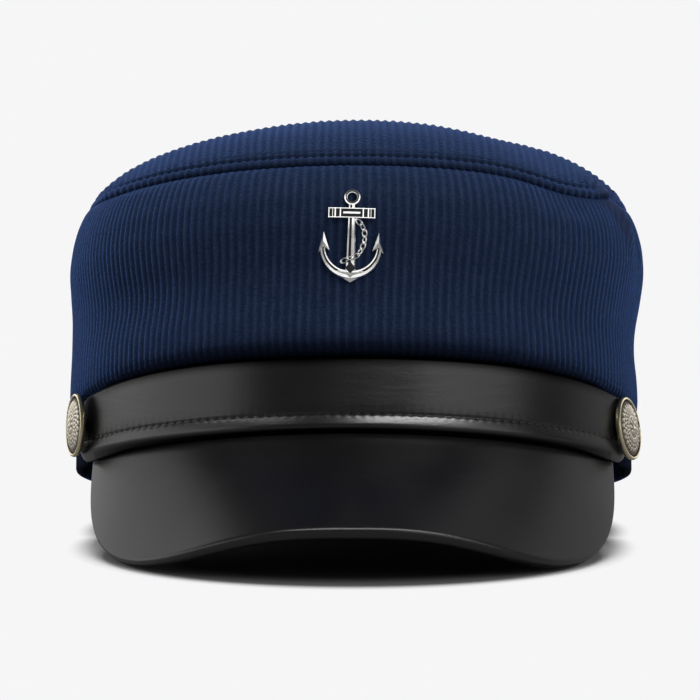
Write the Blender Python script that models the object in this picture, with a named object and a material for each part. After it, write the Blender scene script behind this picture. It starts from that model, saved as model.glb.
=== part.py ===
"""A corduroy cap with a leather peak, a strap, two metal buttons and an anchor badge, at rest on a flat surface.

The cap is drawn in its own frame: the headband's rim is the plane z = 0, the peak points to -Y and +X is
the viewer's right. An empty then tips it back onto the back of its rim and the two corners of its peak.
Lengths are in metres.
"""

import math
from typing import NamedTuple

import bmesh
import bpy
from mathutils import Matrix, Vector

# Headband: an oval for a 58 cm head
BAND_HALF_WIDTH = 0.0860
BAND_HALF_DEPTH = 0.1030
BAND_WALL = 0.0024
BAND_TUCK = 0.0030
RIM_SAG = 0.0017
RIM_FLAT = 0.0006
BAND_COLUMNS = 60

# Crown
CLOTH = 0.0014
UNDENTED_HEM = 0.20
CROWN_LOW = 0.0230
SEAM_FRONT = 0.0762
SEAM_SIDE_RISE = 0.0030
SIDE_SEAM_GAP = 0.0003
DOME_BASE = 0.0775
TOP_EDGE_LIFT = 0.0013
TOP_HALF_WIDTH = 0.0846
TOP_HALF_DEPTH = 0.1018
SEAM_DIP = 0.0022
SEAM_DIP_DEG = 46.0
SEAM_DIP_HALF_DEG = 13.0
SEAM_BACK_FALL = 0.0020
CROWN_LEAN = 0.0012
LEAN_FROM = 0.0300
LEAN_OVER = 0.0380

# Strap: its lower edge follows the rim, its upper edge falls towards its ends
STRAP_HEIGHT = 0.0207
STRAP_FALL = 0.0062
STRAP_THICK = 0.0016
STRAP_HEM = 0.0034
STRAP_END_DEG = 69.0
STRAP_END_RADIUS = 0.0075
STRAP_STATIONS = 40
STRAP_HOLE_RADIUS = 0.0022
STRAP_HOLE_DEPTH = 0.0120

# Peak
PEAK_HALF_WIDTH = 0.0774
PEAK_FRONT = 0.1470
PEAK_BACK = 0.0440
PEAK_THICK = 0.0036
PEAK_ROOT_TUCK = 0.0015
PEAK_KNEE = 0.0050
PEAK_SLOPE_MIDDLE = math.radians(34.4)
PEAK_SLOPE_SIDE = math.radians(45.9)
PEAK_SLOPE_REACH = 0.0720
PEAK_CORNER_POWER = 2.0
PEAK_EDGE_ROUND = 0.0011
PEAK_COLUMNS = 34
PEAK_ROWS = 6
PEAK_ROW_SPREAD = 0.85

# Buttons
BUTTON_ANGLE_DEG = 65.5
BUTTON_HEIGHT = 0.0092
BUTTON_STAND_OFF = 0.0034
BUTTON_SIDES = 32

# Anchor badge
ANCHOR_HEIGHT = 0.0546
ANCHOR_BACK = 0.0003
ANCHOR_THICK = 0.0012
SHANK_TOP = 0.0092
SHANK_LENGTH = 0.0200
SHANK_HALF_WIDTH = 0.0008
SHANK_GROWTH = 0.0007
STOCK_HALF_LENGTH = 0.0063
STOCK_UP = 0.0064
STOCK_HALF_WIDTH = 0.0010
COLLAR_SIDE = 0.0047
COLLAR_HALF_LENGTH = 0.0015
COLLAR_HALF_WIDTH = 0.0005
RING_UP = 0.0107
RING_RADIUS = 0.0017
RING_HALF_WIDTH = 0.00045
ARMS_UP = -0.0028
ARMS_RADIUS = 0.0076
ARM_ROOT_HALF_WIDTH = 0.0011
ARM_TIP_HALF_WIDTH = 0.0005
ROD_SECTION = ((-1.0, 0.0), (-1.0, 0.55), (-0.4, 1.0), (0.4, 1.0), (1.0, 0.55), (1.0, 0.0))
FOOT_CORNERS = ((-0.0022, -0.0099), (0.0, -0.0124), (0.0022, -0.0099), (0.0, -0.0088))
FLUKE_CORNERS = ((0.0086, 0.0010), (0.0056, -0.0036), (0.0075, -0.0030), (0.0091, -0.0041))

# The pose: the shift that centres the resting cap on the origin
REST_SHIFT = 0.0162

FIT = 0.0003
WELD = 1e-6


class WallRow(NamedTuple):
    """One height of the crown's wall: share of its height, and how far it stands out from the headband."""

    share: float
    side: float
    front: float


WALL_ROWS = (
    WallRow(0.000, 0.0018, 0.0024),
    WallRow(0.040, 0.0020, 0.0030),
    WallRow(0.150, 0.0019, 0.0025),
    WallRow(0.280, 0.0017, 0.0019),
    WallRow(0.420, 0.0019, 0.0023),
    WallRow(0.560, 0.0026, 0.0037),
    WallRow(0.680, 0.0032, 0.0049),
    WallRow(0.790, 0.0028, 0.0050),
    WallRow(0.880, 0.0017, 0.0036),
    WallRow(0.945, 0.0003, 0.0016),
    WallRow(0.985, -0.0010, -0.0006),
    WallRow(1.000, -0.0020, -0.0020),
)


class DomeRow(NamedTuple):
    """One ring of the top: share of the way out from its middle, and height over the dome's base."""

    share: float
    rise: float


DOME_ROWS = (
    DomeRow(0.000, 0.0284),
    DomeRow(0.250, 0.0268),
    DomeRow(0.410, 0.0244),
    DomeRow(0.520, 0.0222),
    DomeRow(0.666, 0.0183),
    DomeRow(0.788, 0.0145),
    DomeRow(0.873, 0.0106),
    DomeRow(0.923, 0.0072),
    DomeRow(0.966, 0.0036),
    DomeRow(0.990, 0.0012),
    DomeRow(1.000, 0.0000),
)


class Dent(NamedTuple):
    """A soft hollow, or a swelling if its depth is negative: its middle, its depth and its half widths."""

    angle_deg: float
    share: float
    depth: float
    half_angle_deg: float
    half_share: float


DENTS = (
    Dent(-47.0, 0.36, 0.0014, 17.0, 0.14),
    Dent(38.0, 0.32, 0.0008, 20.0, 0.14),
    Dent(80.0, 0.34, 0.0008, 18.0, 0.16),
    Dent(-70.0, 0.68, -0.0006, 20.0, 0.18),
    Dent(46.0, 0.93, 0.0010, 9.0, 0.07),
    Dent(150.0, 0.45, 0.0018, 16.0, 0.20),
    Dent(-155.0, 0.55, 0.0016, 18.0, 0.22),
)
TOP_DENTS = (Dent(68.0, 0.72, -0.0008, 34.0, 0.24),)

# The soft fold that runs down the crown's right shoulder: its line, its height and its half width
FOLD_LINE = (
    Vector((0.0640, -0.0580, 0.0860)),
    Vector((0.0770, -0.0470, 0.0765)),
    Vector((0.0850, -0.0330, 0.0680)),
    Vector((0.0885, -0.0150, 0.0580)),
)
FOLD_HEIGHT = 0.0018
FOLD_HALF_WIDTH = 0.0028
FOLD_LEAD = 0.12
CROWN_HEART = Vector((0.0, 0.0, 0.0450))


class ButtonPoint(NamedTuple):
    """One point of the button's profile: distance from its axis, height over its back."""

    radius: float
    height: float


BUTTON_PROFILE = (
    ButtonPoint(0.00000, -0.0030),
    ButtonPoint(0.00170, -0.0030),
    ButtonPoint(0.00170, 0.0000),
    ButtonPoint(0.00920, 0.0001),
    ButtonPoint(0.00975, 0.0010),
    ButtonPoint(0.00930, 0.0018),
    ButtonPoint(0.00850, 0.0012),
    ButtonPoint(0.00760, 0.0015),
    ButtonPoint(0.00600, 0.0023),
    ButtonPoint(0.00420, 0.0024),
    ButtonPoint(0.00280, 0.0023),
    ButtonPoint(0.00160, 0.0031),
    ButtonPoint(0.00000, 0.0033),
)
LEAF_COUNT = 8
LEAF_RELIEF = 0.0005
LEAF_INNER = 0.0030
LEAF_OUTER = 0.0076
LEAF_FLOOR = 0.0015


class ButtonSeat(NamedTuple):
    """Where a button sits: the side of the cap, how far it faces forward, how far it faces up."""

    name: str
    side: int
    forward_deg: float
    up_deg: float


BUTTON_SEATS = (
    ButtonSeat("button_left", -1, 24.0, 0.0),
    ButtonSeat("button_right", 1, 27.0, 5.0),
)


class RodStation(NamedTuple):
    """One section of a badge's bar: its middle, its half width across the badge and its height."""

    right: float
    up: float
    half_width: float
    thick: float


def clear_scene():
    for old in list(bpy.data.objects):
        bpy.data.objects.remove(old, do_unlink=True)


def finish_material(name, colour, roughness, metallic=0.0):
    made = bpy.data.materials.new(name)
    made.use_nodes = True
    shader = made.node_tree.nodes["Principled BSDF"]
    shader.inputs["Base Color"].default_value = (*colour, 1.0)
    shader.inputs["Roughness"].default_value = roughness
    shader.inputs["Metallic"].default_value = metallic
    made.diffuse_color = (*colour, 1.0)
    return made


def add_piece(name, bm, material, parent, smooth_under_deg=40.0):
    """Turns a bmesh into a named object under its parent."""
    mesh = bpy.data.meshes.new(name)
    bm.to_mesh(mesh)
    bm.free()
    mesh.shade_smooth()
    mesh.set_sharp_from_angle(angle=math.radians(smooth_under_deg))
    mesh.materials.append(material)
    piece = bpy.data.objects.new(name, mesh)
    bpy.context.scene.collection.objects.link(piece)
    piece.parent = parent
    return piece


def solidify(piece, thickness):
    """Gives a sheet its thickness, inwards from the side that it was drawn on."""
    wall = piece.modifiers.new("thickness", "SOLIDIFY")
    wall.thickness = thickness
    wall.offset = -1.0
    wall.use_even_offset = True


def sheet(columns, rows, place):
    """A grid of columns by rows whose points are placed by a function of two shares from 0 to 1."""
    bm = bmesh.new()
    bmesh.ops.create_grid(bm, x_segments=columns, y_segments=rows, size=0.5)
    for vertex in bm.verts:
        vertex.co = place(vertex.co.x + 0.5, vertex.co.y + 0.5)
    bmesh.ops.remove_doubles(bm, verts=bm.verts, dist=WELD)
    bmesh.ops.recalc_face_normals(bm, faces=bm.faces)
    return bm


def picked(values, share):
    """The value nearest to a share of the way along a list."""
    return values[round(share * (len(values) - 1))]


def tube(sections):
    """A surface through closed sections, each a list of points in the same order."""
    rings = [section + section[:1] for section in sections]
    rows = len(sections[0])
    return sheet(len(sections) - 1, rows, lambda u, v: picked(picked(rings, u), v))


def face_outwards(bm, heart):
    """Turns the faces of an open sheet away from a point inside it."""
    sample = max(bm.faces, key=lambda face: face.calc_area())
    if sample.normal.dot(sample.calc_center_median() - heart) < 0:
        bmesh.ops.reverse_faces(bm, faces=bm.faces)


def close_ends(bm):
    bmesh.ops.holes_fill(bm, edges=[edge for edge in bm.edges if edge.is_boundary])
    bmesh.ops.recalc_face_normals(bm, faces=bm.faces)


def read_table(rows, share, column):
    """A smooth curve through one column of a table, by cubic pieces with limited slopes."""
    known = [row[0] for row in rows]
    values = [row[column] for row in rows]
    last = len(rows) - 1
    steps = [(values[i + 1] - values[i]) / (known[i + 1] - known[i]) for i in range(last)]
    at = min(max(i for i in range(last) if known[i] <= max(share, known[0])), last - 1)

    def slope(i):
        if i in (0, last):
            return steps[min(i, last - 1)]
        if steps[i - 1] * steps[i] <= 0:
            return 0.0
        return 2 * steps[i - 1] * steps[i] / (steps[i - 1] + steps[i])

    width = known[at + 1] - known[at]
    t = (share - known[at]) / width
    keep = values[at] * (1 + 2 * t) * (1 - t) ** 2 + values[at + 1] * t * t * (3 - 2 * t)
    lean = width * (slope(at) * t * (1 - t) ** 2 - slope(at + 1) * t * t * (1 - t))
    return keep + lean


def oval(angle, half_width, half_depth, height):
    """A point of a head-shaped oval; the angle is 0 at the front and grows towards the viewer's right."""
    return Vector((half_width * math.sin(angle), -half_depth * math.cos(angle), height))


def oval_normal(angle, half_width, half_depth):
    return Vector((half_depth * math.sin(angle), -half_width * math.cos(angle), 0.0)).normalized()


def rim_height(angle):
    """The rim dips a little at the sides, where no peak holds it up."""
    return -RIM_SAG * math.sin(angle) ** 2


def strap_top(angle):
    return STRAP_HEIGHT - STRAP_FALL * math.sin(angle) ** 4


def crown_low(angle):
    return strap_top(angle) + CROWN_LOW - STRAP_HEIGHT


def bump(distance, half_width):
    return math.exp(-((distance / half_width) ** 2))


def seam_height(angle):
    """The seam round the top rises at the sides, dips over the right shoulder and is lower behind."""
    degrees = math.degrees(angle)
    side = SEAM_SIDE_RISE * math.sin(angle) ** 12
    shoulder = SEAM_DIP * bump(degrees - SEAM_DIP_DEG, SEAM_DIP_HALF_DEG)
    behind = SEAM_BACK_FALL * max(0.0, -math.cos(angle)) ** 2
    return SEAM_FRONT + side - shoulder - behind


def fold_lift(point):
    """How far the shoulder fold lifts the cloth at a point, fading along its line towards the side."""
    nearest = math.inf
    along = 0.0
    pieces = len(FOLD_LINE) - 1
    for i in range(pieces):
        start, end = FOLD_LINE[i], FOLD_LINE[i + 1]
        t = min(1.0, max(0.0, (point - start).dot(end - start) / (end - start).length_squared))
        distance = (point - start.lerp(end, t)).length
        if distance < nearest:
            nearest = distance
            along = (i + t) / pieces
    fade = math.sqrt(math.sin(math.pi * min(1.0, along + FOLD_LEAD)))
    return FOLD_HEIGHT * fade * bump(nearest, FOLD_HALF_WIDTH)


def crown_lean(height):
    """How far the soft crown has slumped towards the viewer's right at a height."""
    share = min(1.0, max(0.0, (height - LEAN_FROM) / LEAN_OVER))
    return CROWN_LEAN * share * share * (3.0 - 2.0 * share)


def slumped(point):
    """A point of the crown as drawn, moved by the crown's lean and by the shoulder fold."""
    leaned = point + Vector((crown_lean(point.z), 0.0, 0.0))
    return leaned + (leaned - CROWN_HEART).normalized() * fold_lift(leaned)


def dented(dents, angle, share):
    """How deep the dents are at a place."""
    inwards = 0.0
    for dent in dents:
        turn = (math.degrees(angle) - dent.angle_deg + 180.0) % 360.0 - 180.0
        near = bump(turn, dent.half_angle_deg) * bump(share - dent.share, dent.half_share)
        inwards += dent.depth * near
    return inwards


def wall_point(angle, share):
    """The crown's wall from its lower edge (share 0) to the seam under the top (share 1)."""
    inwards = dented(DENTS, angle, share) * min(1.0, share / UNDENTED_HEM)
    half_width = BAND_HALF_WIDTH + read_table(WALL_ROWS, share, 1) - inwards
    half_depth = BAND_HALF_DEPTH + read_table(WALL_ROWS, share, 2) - inwards
    low = crown_low(angle)
    height = low + share * (seam_height(angle) - low)
    return slumped(oval(angle, half_width, half_depth, height))


def top_point(angle, share):
    """The top of the crown, from its middle (share 0) to its edge over the seam (share 1)."""
    edge = seam_height(angle) + TOP_EDGE_LIFT
    base = DOME_BASE + (edge - DOME_BASE) * share**2
    height = base + read_table(DOME_ROWS, share, 1) - dented(TOP_DENTS, angle, share)
    return slumped(oval(angle, TOP_HALF_WIDTH * share, TOP_HALF_DEPTH * share, height))


def panel_angles(first_deg, last_deg, step_deg, fine=()):
    """Evenly spaced angles, with a finer stretch where a fold needs more points."""
    angles = []
    degrees = first_deg
    while degrees < last_deg - 0.25 * step_deg:
        angles.append(math.radians(degrees))
        in_fine = any(low <= degrees < high for low, high in fine)
        degrees += step_deg / 2 if in_fine else step_deg
    return angles + [math.radians(last_deg)]


def wall_panel(name, angles, material, parent):
    shares = [0.0, 0.04, 0.14, 0.27, 0.40, 0.53, 0.65, 0.75, 0.84, 0.91, 0.96, 1.0]
    bm = sheet(
        len(angles) - 1,
        len(shares) - 1,
        lambda u, v: wall_point(picked(angles, u), picked(shares, v)),
    )
    face_outwards(bm, CROWN_HEART)
    solidify(add_piece(name, bm, material, parent), CLOTH)


def top_panel(material, parent):
    shares = [0.0, 0.16, 0.31, 0.45, 0.58, 0.70, 0.80, 0.88, 0.94, 0.98, 1.0]
    angles = panel_angles(-180.0, 180.0, 9.0, fine=((27.0, 72.0),))
    bm = sheet(
        len(angles) - 1,
        len(shares) - 1,
        lambda u, v: top_point(picked(angles, u), picked(shares, v)),
    )
    face_outwards(bm, CROWN_HEART)
    solidify(add_piece("top_panel", bm, material, parent), CLOTH)


def band_section(angle):
    """The headband's closed section: up the outside, over the tucked top edge and down the inside."""
    low = rim_height(angle)
    bend = strap_top(angle) + 0.5 * FIT
    half_way = 0.5 * (low + strap_top(angle))
    top = crown_low(angle) + BAND_TUCK
    tucked = BAND_TUCK / (seam_height(angle) - crown_low(angle))
    flare_width = read_table(WALL_ROWS, tucked, 1) - CLOTH - FIT
    flare_depth = read_table(WALL_ROWS, tucked, 2) - CLOTH - FIT
    rows = (
        (0.0, low, 0.0),
        (0.0, half_way, 0.0),
        (0.0, bend, 0.0),
        (0.0, top, 1.0),
        (-BAND_WALL, top, 1.0),
        (-BAND_WALL, bend, 0.0),
        (-BAND_WALL, half_way, 0.0),
        (-BAND_WALL, low, 0.0),
    )
    section = []
    for out, height, flare in rows:
        half_width = BAND_HALF_WIDTH + out + flare * flare_width
        half_depth = BAND_HALF_DEPTH + out + flare * flare_depth
        section.append(oval(angle, half_width, half_depth, height))
    return section


def headband(material, parent, tilt):
    """The band round the head, pressed flat where the back of its rim carries the cap."""
    bm = tube([band_section(math.tau * i / BAND_COLUMNS) for i in range(BAND_COLUMNS + 1)])
    up = Vector((0.0, -math.sin(tilt), math.cos(tilt)))
    floor = Vector((0.0, BAND_HALF_DEPTH, RIM_FLAT)).dot(up)
    for vertex in bm.verts:
        sunk = floor - vertex.co.dot(up)
        if sunk > 0:
            vertex.co += sunk * up
    add_piece("headband", bm, material, parent)


def strap_half_height(angle):
    """Half the strap's height, rounded off over its last stretch."""
    full = 0.5 * (strap_top(angle) - rim_height(angle) - FIT)
    reach = BAND_HALF_WIDTH * (math.radians(STRAP_END_DEG) - abs(angle))
    if reach >= STRAP_END_RADIUS:
        return full
    past = 1.0 - max(0.0, reach) / STRAP_END_RADIUS
    return full - STRAP_END_RADIUS * (1.0 - math.sqrt(max(0.0, 1.0 - past * past)))


def strap_section(angle):
    """The strap's closed section: up the outside over its hem, over the top and down the inside."""
    half = strap_half_height(angle)
    middle = 0.5 * (strap_top(angle) + rim_height(angle) + FIT)
    hem = min(STRAP_HEM, 0.5 * half)
    outside = FIT + STRAP_THICK
    rows = (
        (outside - 0.0006, -half),
        (outside + 0.0003, -half + 0.0005),
        (outside + 0.0004, -half + 0.5 * hem),
        (outside + 0.0001, -half + 0.9 * hem),
        (outside - 0.0004, -half + 1.05 * hem),
        (outside, -half + 1.35 * hem),
        (outside, 0.0),
        (outside, half - 0.0008),
        (outside - 0.0005, half),
        (FIT + 0.0003, half),
        (FIT, half - 0.0004),
        (FIT, 0.0),
        (FIT, -half + 0.0004),
        (FIT + 0.0003, -half),
    )
    section = []
    for out, rise in rows:
        section.append(oval(angle, BAND_HALF_WIDTH + out, BAND_HALF_DEPTH + out, middle + rise))
    return section


def strap_angle(share):
    """Stations from end to end, closer together where the ends are rounded."""
    across = 2.0 * share - 1.0
    end = math.radians(STRAP_END_DEG - 0.25)
    return end * (0.45 * across + 0.55 * math.sin(0.5 * math.pi * across))


def strap(material, parent, seats):
    bm = tube([strap_section(strap_angle(i / STRAP_STATIONS)) for i in range(STRAP_STATIONS + 1)])
    close_ends(bm)
    piece = add_piece("strap", bm, material, parent)
    for seat in seats:
        hole = bmesh.new()
        bmesh.ops.create_cone(
            hole,
            cap_ends=True,
            segments=20,
            radius1=STRAP_HOLE_RADIUS,
            radius2=STRAP_HOLE_RADIUS,
            depth=STRAP_HOLE_DEPTH,
        )
        cutter = add_piece("hole_for_" + seat.name, hole, material, parent)
        cutter.matrix_local = button_matrix(seat)
        cutter.hide_render = True
        cutter.display_type = "WIRE"
        cut = piece.modifiers.new("hole for " + seat.name, "BOOLEAN")
        cut.operation = "DIFFERENCE"
        cut.solver = "EXACT"
        cut.object = cutter


def peak_outline(x):
    """How far forward the peak's edge lies at a distance from the middle."""
    inner = 1.0 - abs(x / PEAK_HALF_WIDTH) ** PEAK_CORNER_POWER
    return -PEAK_BACK - (PEAK_FRONT - PEAK_BACK) * math.sqrt(max(0.0, inner))


def peak_point(across, out):
    """The peak's upper side, from its root under the headband's rim (out 0) to its edge (out 1)."""
    x = PEAK_HALF_WIDTH * math.sin(0.5 * math.pi * (2.0 * across - 1.0))
    root_width = BAND_HALF_WIDTH - PEAK_ROOT_TUCK
    root_depth = BAND_HALF_DEPTH - PEAK_ROOT_TUCK
    angle = math.asin(x / root_width)
    root = -root_depth * math.cos(angle)
    run = out * (root - peak_outline(x))
    reach = math.sin(0.5 * math.pi * min(1.0, abs(x) / PEAK_SLOPE_REACH)) ** 2
    slope = math.tan(PEAK_SLOPE_MIDDLE + (PEAK_SLOPE_SIDE - PEAK_SLOPE_MIDDLE) * reach)
    drop = slope * (run**2 / (2 * PEAK_KNEE) if run < PEAK_KNEE else run - 0.5 * PEAK_KNEE)
    return Vector((x, root - run, rim_height(angle) - FIT - drop))


def peak(material, parent):
    bm = sheet(PEAK_COLUMNS, PEAK_ROWS, lambda u, v: peak_point(u, v**PEAK_ROW_SPREAD))
    face_outwards(bm, Vector((0.0, -0.08, -0.20)))
    piece = add_piece("peak", bm, material, parent)
    solidify(piece, PEAK_THICK)
    rounded = piece.modifiers.new("rounded edge", "BEVEL")
    rounded.width = PEAK_EDGE_ROUND
    rounded.segments = 2
    rounded.limit_method = "ANGLE"
    rounded.angle_limit = math.radians(50.0)
    return piece


def resting_tilt(peak_piece):
    """How far the cap tips back, from the back of its rim to the lowest points under the peak."""
    back = Vector((0.0, BAND_HALF_DEPTH, RIM_FLAT))
    finished = peak_piece.evaluated_get(bpy.context.evaluated_depsgraph_get())
    points = [vertex.co for vertex in finished.data.vertices]
    return max(math.atan2(back.z - point.z, back.y - point.y) for point in points)


def button_matrix(seat):
    """The button's place on the strap, its own +Z facing away from the cap."""
    angle = seat.side * math.radians(BUTTON_ANGLE_DEG)
    seated = oval(angle, BAND_HALF_WIDTH, BAND_HALF_DEPTH, BUTTON_HEIGHT)
    sideways = seat.side * math.cos(math.radians(seat.forward_deg))
    forwards = math.sin(math.radians(seat.forward_deg))
    upwards = math.tan(math.radians(seat.up_deg))
    facing = Vector((sideways, -forwards, upwards)).normalized()
    upright = Vector((0.0, 0.0, 1.0)).cross(facing).normalized()
    turn = Matrix((upright, facing.cross(upright), facing)).transposed().to_4x4()
    return Matrix.Translation(seated + BUTTON_STAND_OFF * facing) @ turn


def button(seat, material, parent):
    """A turned button: shank, rolled rim, groove and a domed face with a ring of raised leaves."""
    bm = bmesh.new()
    line = [bm.verts.new((point.radius, 0.0, point.height)) for point in BUTTON_PROFILE]
    for start, end in zip(line, line[1:]):
        bm.edges.new((start, end))
    bmesh.ops.spin(
        bm,
        geom=bm.verts[:] + bm.edges[:],
        axis=(0.0, 0.0, 1.0),
        cent=(0.0, 0.0, 0.0),
        angle=math.tau,
        steps=BUTTON_SIDES,
        use_merge=True,
    )
    bmesh.ops.remove_doubles(bm, verts=bm.verts, dist=WELD)
    for vertex in bm.verts:
        radius = vertex.co.xy.length
        if vertex.co.z < LEAF_FLOOR or not LEAF_INNER < radius < LEAF_OUTER:
            continue
        turn = math.atan2(vertex.co.y, vertex.co.x)
        across = math.sin(math.pi * (radius - LEAF_INNER) / (LEAF_OUTER - LEAF_INNER))
        vertex.co.z += LEAF_RELIEF * across * math.cos(LEAF_COUNT * turn)
    bmesh.ops.recalc_face_normals(bm, faces=bm.faces)
    piece = add_piece(seat.name, bm, material, parent, smooth_under_deg=35.0)
    piece.matrix_local = button_matrix(seat)


def on_front_panel(right, up, out):
    """A point of the badge: across, up and out from its middle, bent to the front of the crown."""
    height = ANCHOR_HEIGHT + up
    share = (height - CROWN_LOW) / (SEAM_FRONT - CROWN_LOW)
    half_width = BAND_HALF_WIDTH + read_table(WALL_ROWS, share, 1)
    half_depth = BAND_HALF_DEPTH + read_table(WALL_ROWS, share, 2)
    angle = math.asin((right - crown_lean(height)) / half_width)
    low = crown_low(angle)
    wall = wall_point(angle, (height - low) / (seam_height(angle) - low))
    return wall + (ANCHOR_BACK + out) * oval_normal(angle, half_width, half_depth)


def rod(stations):
    """A bar through its stations, flat behind and chamfered in front, bent to the crown."""
    bm = bmesh.new()
    loops = []
    for i, station in enumerate(stations):
        before = stations[max(0, i - 1)]
        after = stations[min(len(stations) - 1, i + 1)]
        along = Vector((after.right - before.right, after.up - before.up)).normalized()
        across = Vector((along.y, -along.x))
        ring = []
        for side, out in ROD_SECTION:
            middle = Vector((station.right, station.up)) + side * station.half_width * across
            ring.append(bm.verts.new(on_front_panel(middle.x, middle.y, out * station.thick)))
        loops.append([bm.edges.new((a, b)) for a, b in zip(ring, ring[1:] + ring[:1])])
    for first, second in zip(loops, loops[1:]):
        bmesh.ops.bridge_loops(bm, edges=first + second)
    close_ends(bm)
    return bm


def line_rod(start, end, steps, half_widths, thick):
    """A straight bar, its half width running from the first value to the last."""
    stations = []
    for i in range(steps + 1):
        middle = Vector(start).lerp(Vector(end), i / steps)
        half_width = half_widths[0] + i / steps * (half_widths[1] - half_widths[0])
        stations.append(RodStation(middle.x, middle.y, half_width, thick))
    return rod(stations)


def arc_rod(height, radius, first_deg, last_deg, steps, half_widths, thick):
    """A bar bent round a point on the shank's line; its half width runs from the first value to the last."""
    stations = []
    for i in range(steps + 1):
        share = i / steps
        turn = math.radians(first_deg + share * (last_deg - first_deg))
        half_width = half_widths[0] + share * (half_widths[1] - half_widths[0])
        right = radius * math.cos(turn)
        up = height + radius * math.sin(turn)
        stations.append(RodStation(right, up, half_width, thick))
    return rod(stations)


def plate(corners, thick):
    """A flat plate with the given corners, bent to the crown."""
    bm = bmesh.new()
    back = [bm.verts.new(on_front_panel(right, up, 0.0)) for right, up in corners]
    front = [bm.verts.new(on_front_panel(right, up, thick)) for right, up in corners]
    bm.faces.new(back)
    bm.faces.new(front)
    for i in range(len(corners)):
        j = (i + 1) % len(corners)
        bm.faces.new((back[i], back[j], front[j], front[i]))
    bmesh.ops.recalc_face_normals(bm, faces=bm.faces)
    return bm


def anchor_shank():
    foot = (0.0, SHANK_TOP - SHANK_LENGTH)
    half_widths = (SHANK_HALF_WIDTH, SHANK_HALF_WIDTH + SHANK_GROWTH)
    return line_rod((0.0, SHANK_TOP), foot, 8, half_widths, ANCHOR_THICK)


def anchor_fittings():
    """The bars and plates that are fused to the shank, by name."""
    stock_ends = ((-STOCK_HALF_LENGTH, STOCK_UP), (STOCK_HALF_LENGTH, STOCK_UP))
    stock_widths = (STOCK_HALF_WIDTH, STOCK_HALF_WIDTH)
    ring_widths = (RING_HALF_WIDTH, RING_HALF_WIDTH)
    ring_thick = 0.8 * ANCHOR_THICK
    made = {
        "anchor_stock": line_rod(*stock_ends, 6, stock_widths, 0.9 * ANCHOR_THICK),
        "anchor_ring_left": arc_rod(RING_UP, RING_RADIUS, -100.0, -270.0, 8, ring_widths, ring_thick),
        "anchor_ring_right": arc_rod(RING_UP, RING_RADIUS, -80.0, 95.0, 8, ring_widths, ring_thick),
        "anchor_foot": plate(FOOT_CORNERS, ANCHOR_THICK),
    }
    for side, name in ((-1, "left"), (1, "right")):
        collar_x = side * COLLAR_SIDE
        collar_top = (collar_x, STOCK_UP + COLLAR_HALF_LENGTH)
        collar_foot = (collar_x, STOCK_UP - COLLAR_HALF_LENGTH)
        collar_widths = (COLLAR_HALF_WIDTH, COLLAR_HALF_WIDTH)
        collar = line_rod(collar_top, collar_foot, 1, collar_widths, 1.1 * ANCHOR_THICK)
        made["anchor_collar_" + name] = collar
        root_deg = -90.0 - side * 6.0
        tip_deg = -90.0 + side * 90.0
        arm_widths = (ARM_ROOT_HALF_WIDTH, ARM_TIP_HALF_WIDTH)
        arm = arc_rod(ARMS_UP, ARMS_RADIUS, root_deg, tip_deg, 12, arm_widths, 0.92 * ANCHOR_THICK)
        made["anchor_arm_" + name] = arm
        fluke = [(side * right, up) for right, up in FLUKE_CORNERS]
        made["anchor_fluke_" + name] = plate(fluke[::side], 0.8 * ANCHOR_THICK)
    return made


def anchor_badge(material, parent):
    badge = add_piece("anchor_badge", anchor_shank(), material, parent, smooth_under_deg=30.0)
    for name, bm in anchor_fittings().items():
        part = add_piece(name, bm, material, parent)
        part.hide_render = True
        part.display_type = "WIRE"
        fuse = badge.modifiers.new(name, "BOOLEAN")
        fuse.operation = "UNION"
        fuse.solver = "EXACT"
        fuse.object = part


def main():
    clear_scene()
    rest = bpy.data.objects.new("resting_pose", None)
    bpy.context.scene.collection.objects.link(rest)

    corduroy = finish_material("navy_corduroy", (0.012, 0.027, 0.075), 0.9)
    leather = finish_material("black_leather", (0.018, 0.017, 0.018), 0.38)
    old_metal = finish_material("antique_metal", (0.56, 0.52, 0.42), 0.32, 1.0)
    silver = finish_material("bright_silver", (0.82, 0.82, 0.80), 0.22, 1.0)

    half_gap_deg = math.degrees(0.5 * SIDE_SEAM_GAP / BAND_HALF_WIDTH)
    front_edge = 90.0 - half_gap_deg
    front = panel_angles(-front_edge, front_edge, 6.0, fine=((36.0, 88.0),))
    back = panel_angles(90.0 + half_gap_deg, 270.0 - half_gap_deg, 6.0)

    tilt = resting_tilt(peak(leather, rest))
    rest.rotation_euler = (-tilt, 0.0, 0.0)
    lift = BAND_HALF_DEPTH * math.sin(tilt) - RIM_FLAT * math.cos(tilt)
    rest.location = (0.0, REST_SHIFT, lift)

    top_panel(corduroy, rest)
    wall_panel("front_panel", front, corduroy, rest)
    wall_panel("back_panel", back, corduroy, rest)
    headband(corduroy, rest, tilt)
    strap(leather, rest, BUTTON_SEATS)
    for seat in BUTTON_SEATS:
        button(seat, old_metal, rest)
    anchor_badge(silver, rest)


main()
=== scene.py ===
"""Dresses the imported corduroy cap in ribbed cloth, leather and metal, and sets the studio that it is seen in.

Each operator builds one piece over the part that it stands for, in that part's own place. The cap is drawn with
its rim level, its peak towards -Y and +X to the viewer's right, and then tipped back to the way that it rests.
"""

import math
from typing import NamedTuple

import bmesh
import bpy
from bpy.props import FloatProperty, FloatVectorProperty, IntProperty, PointerProperty
from mathutils import Matrix, Vector, noise


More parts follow.
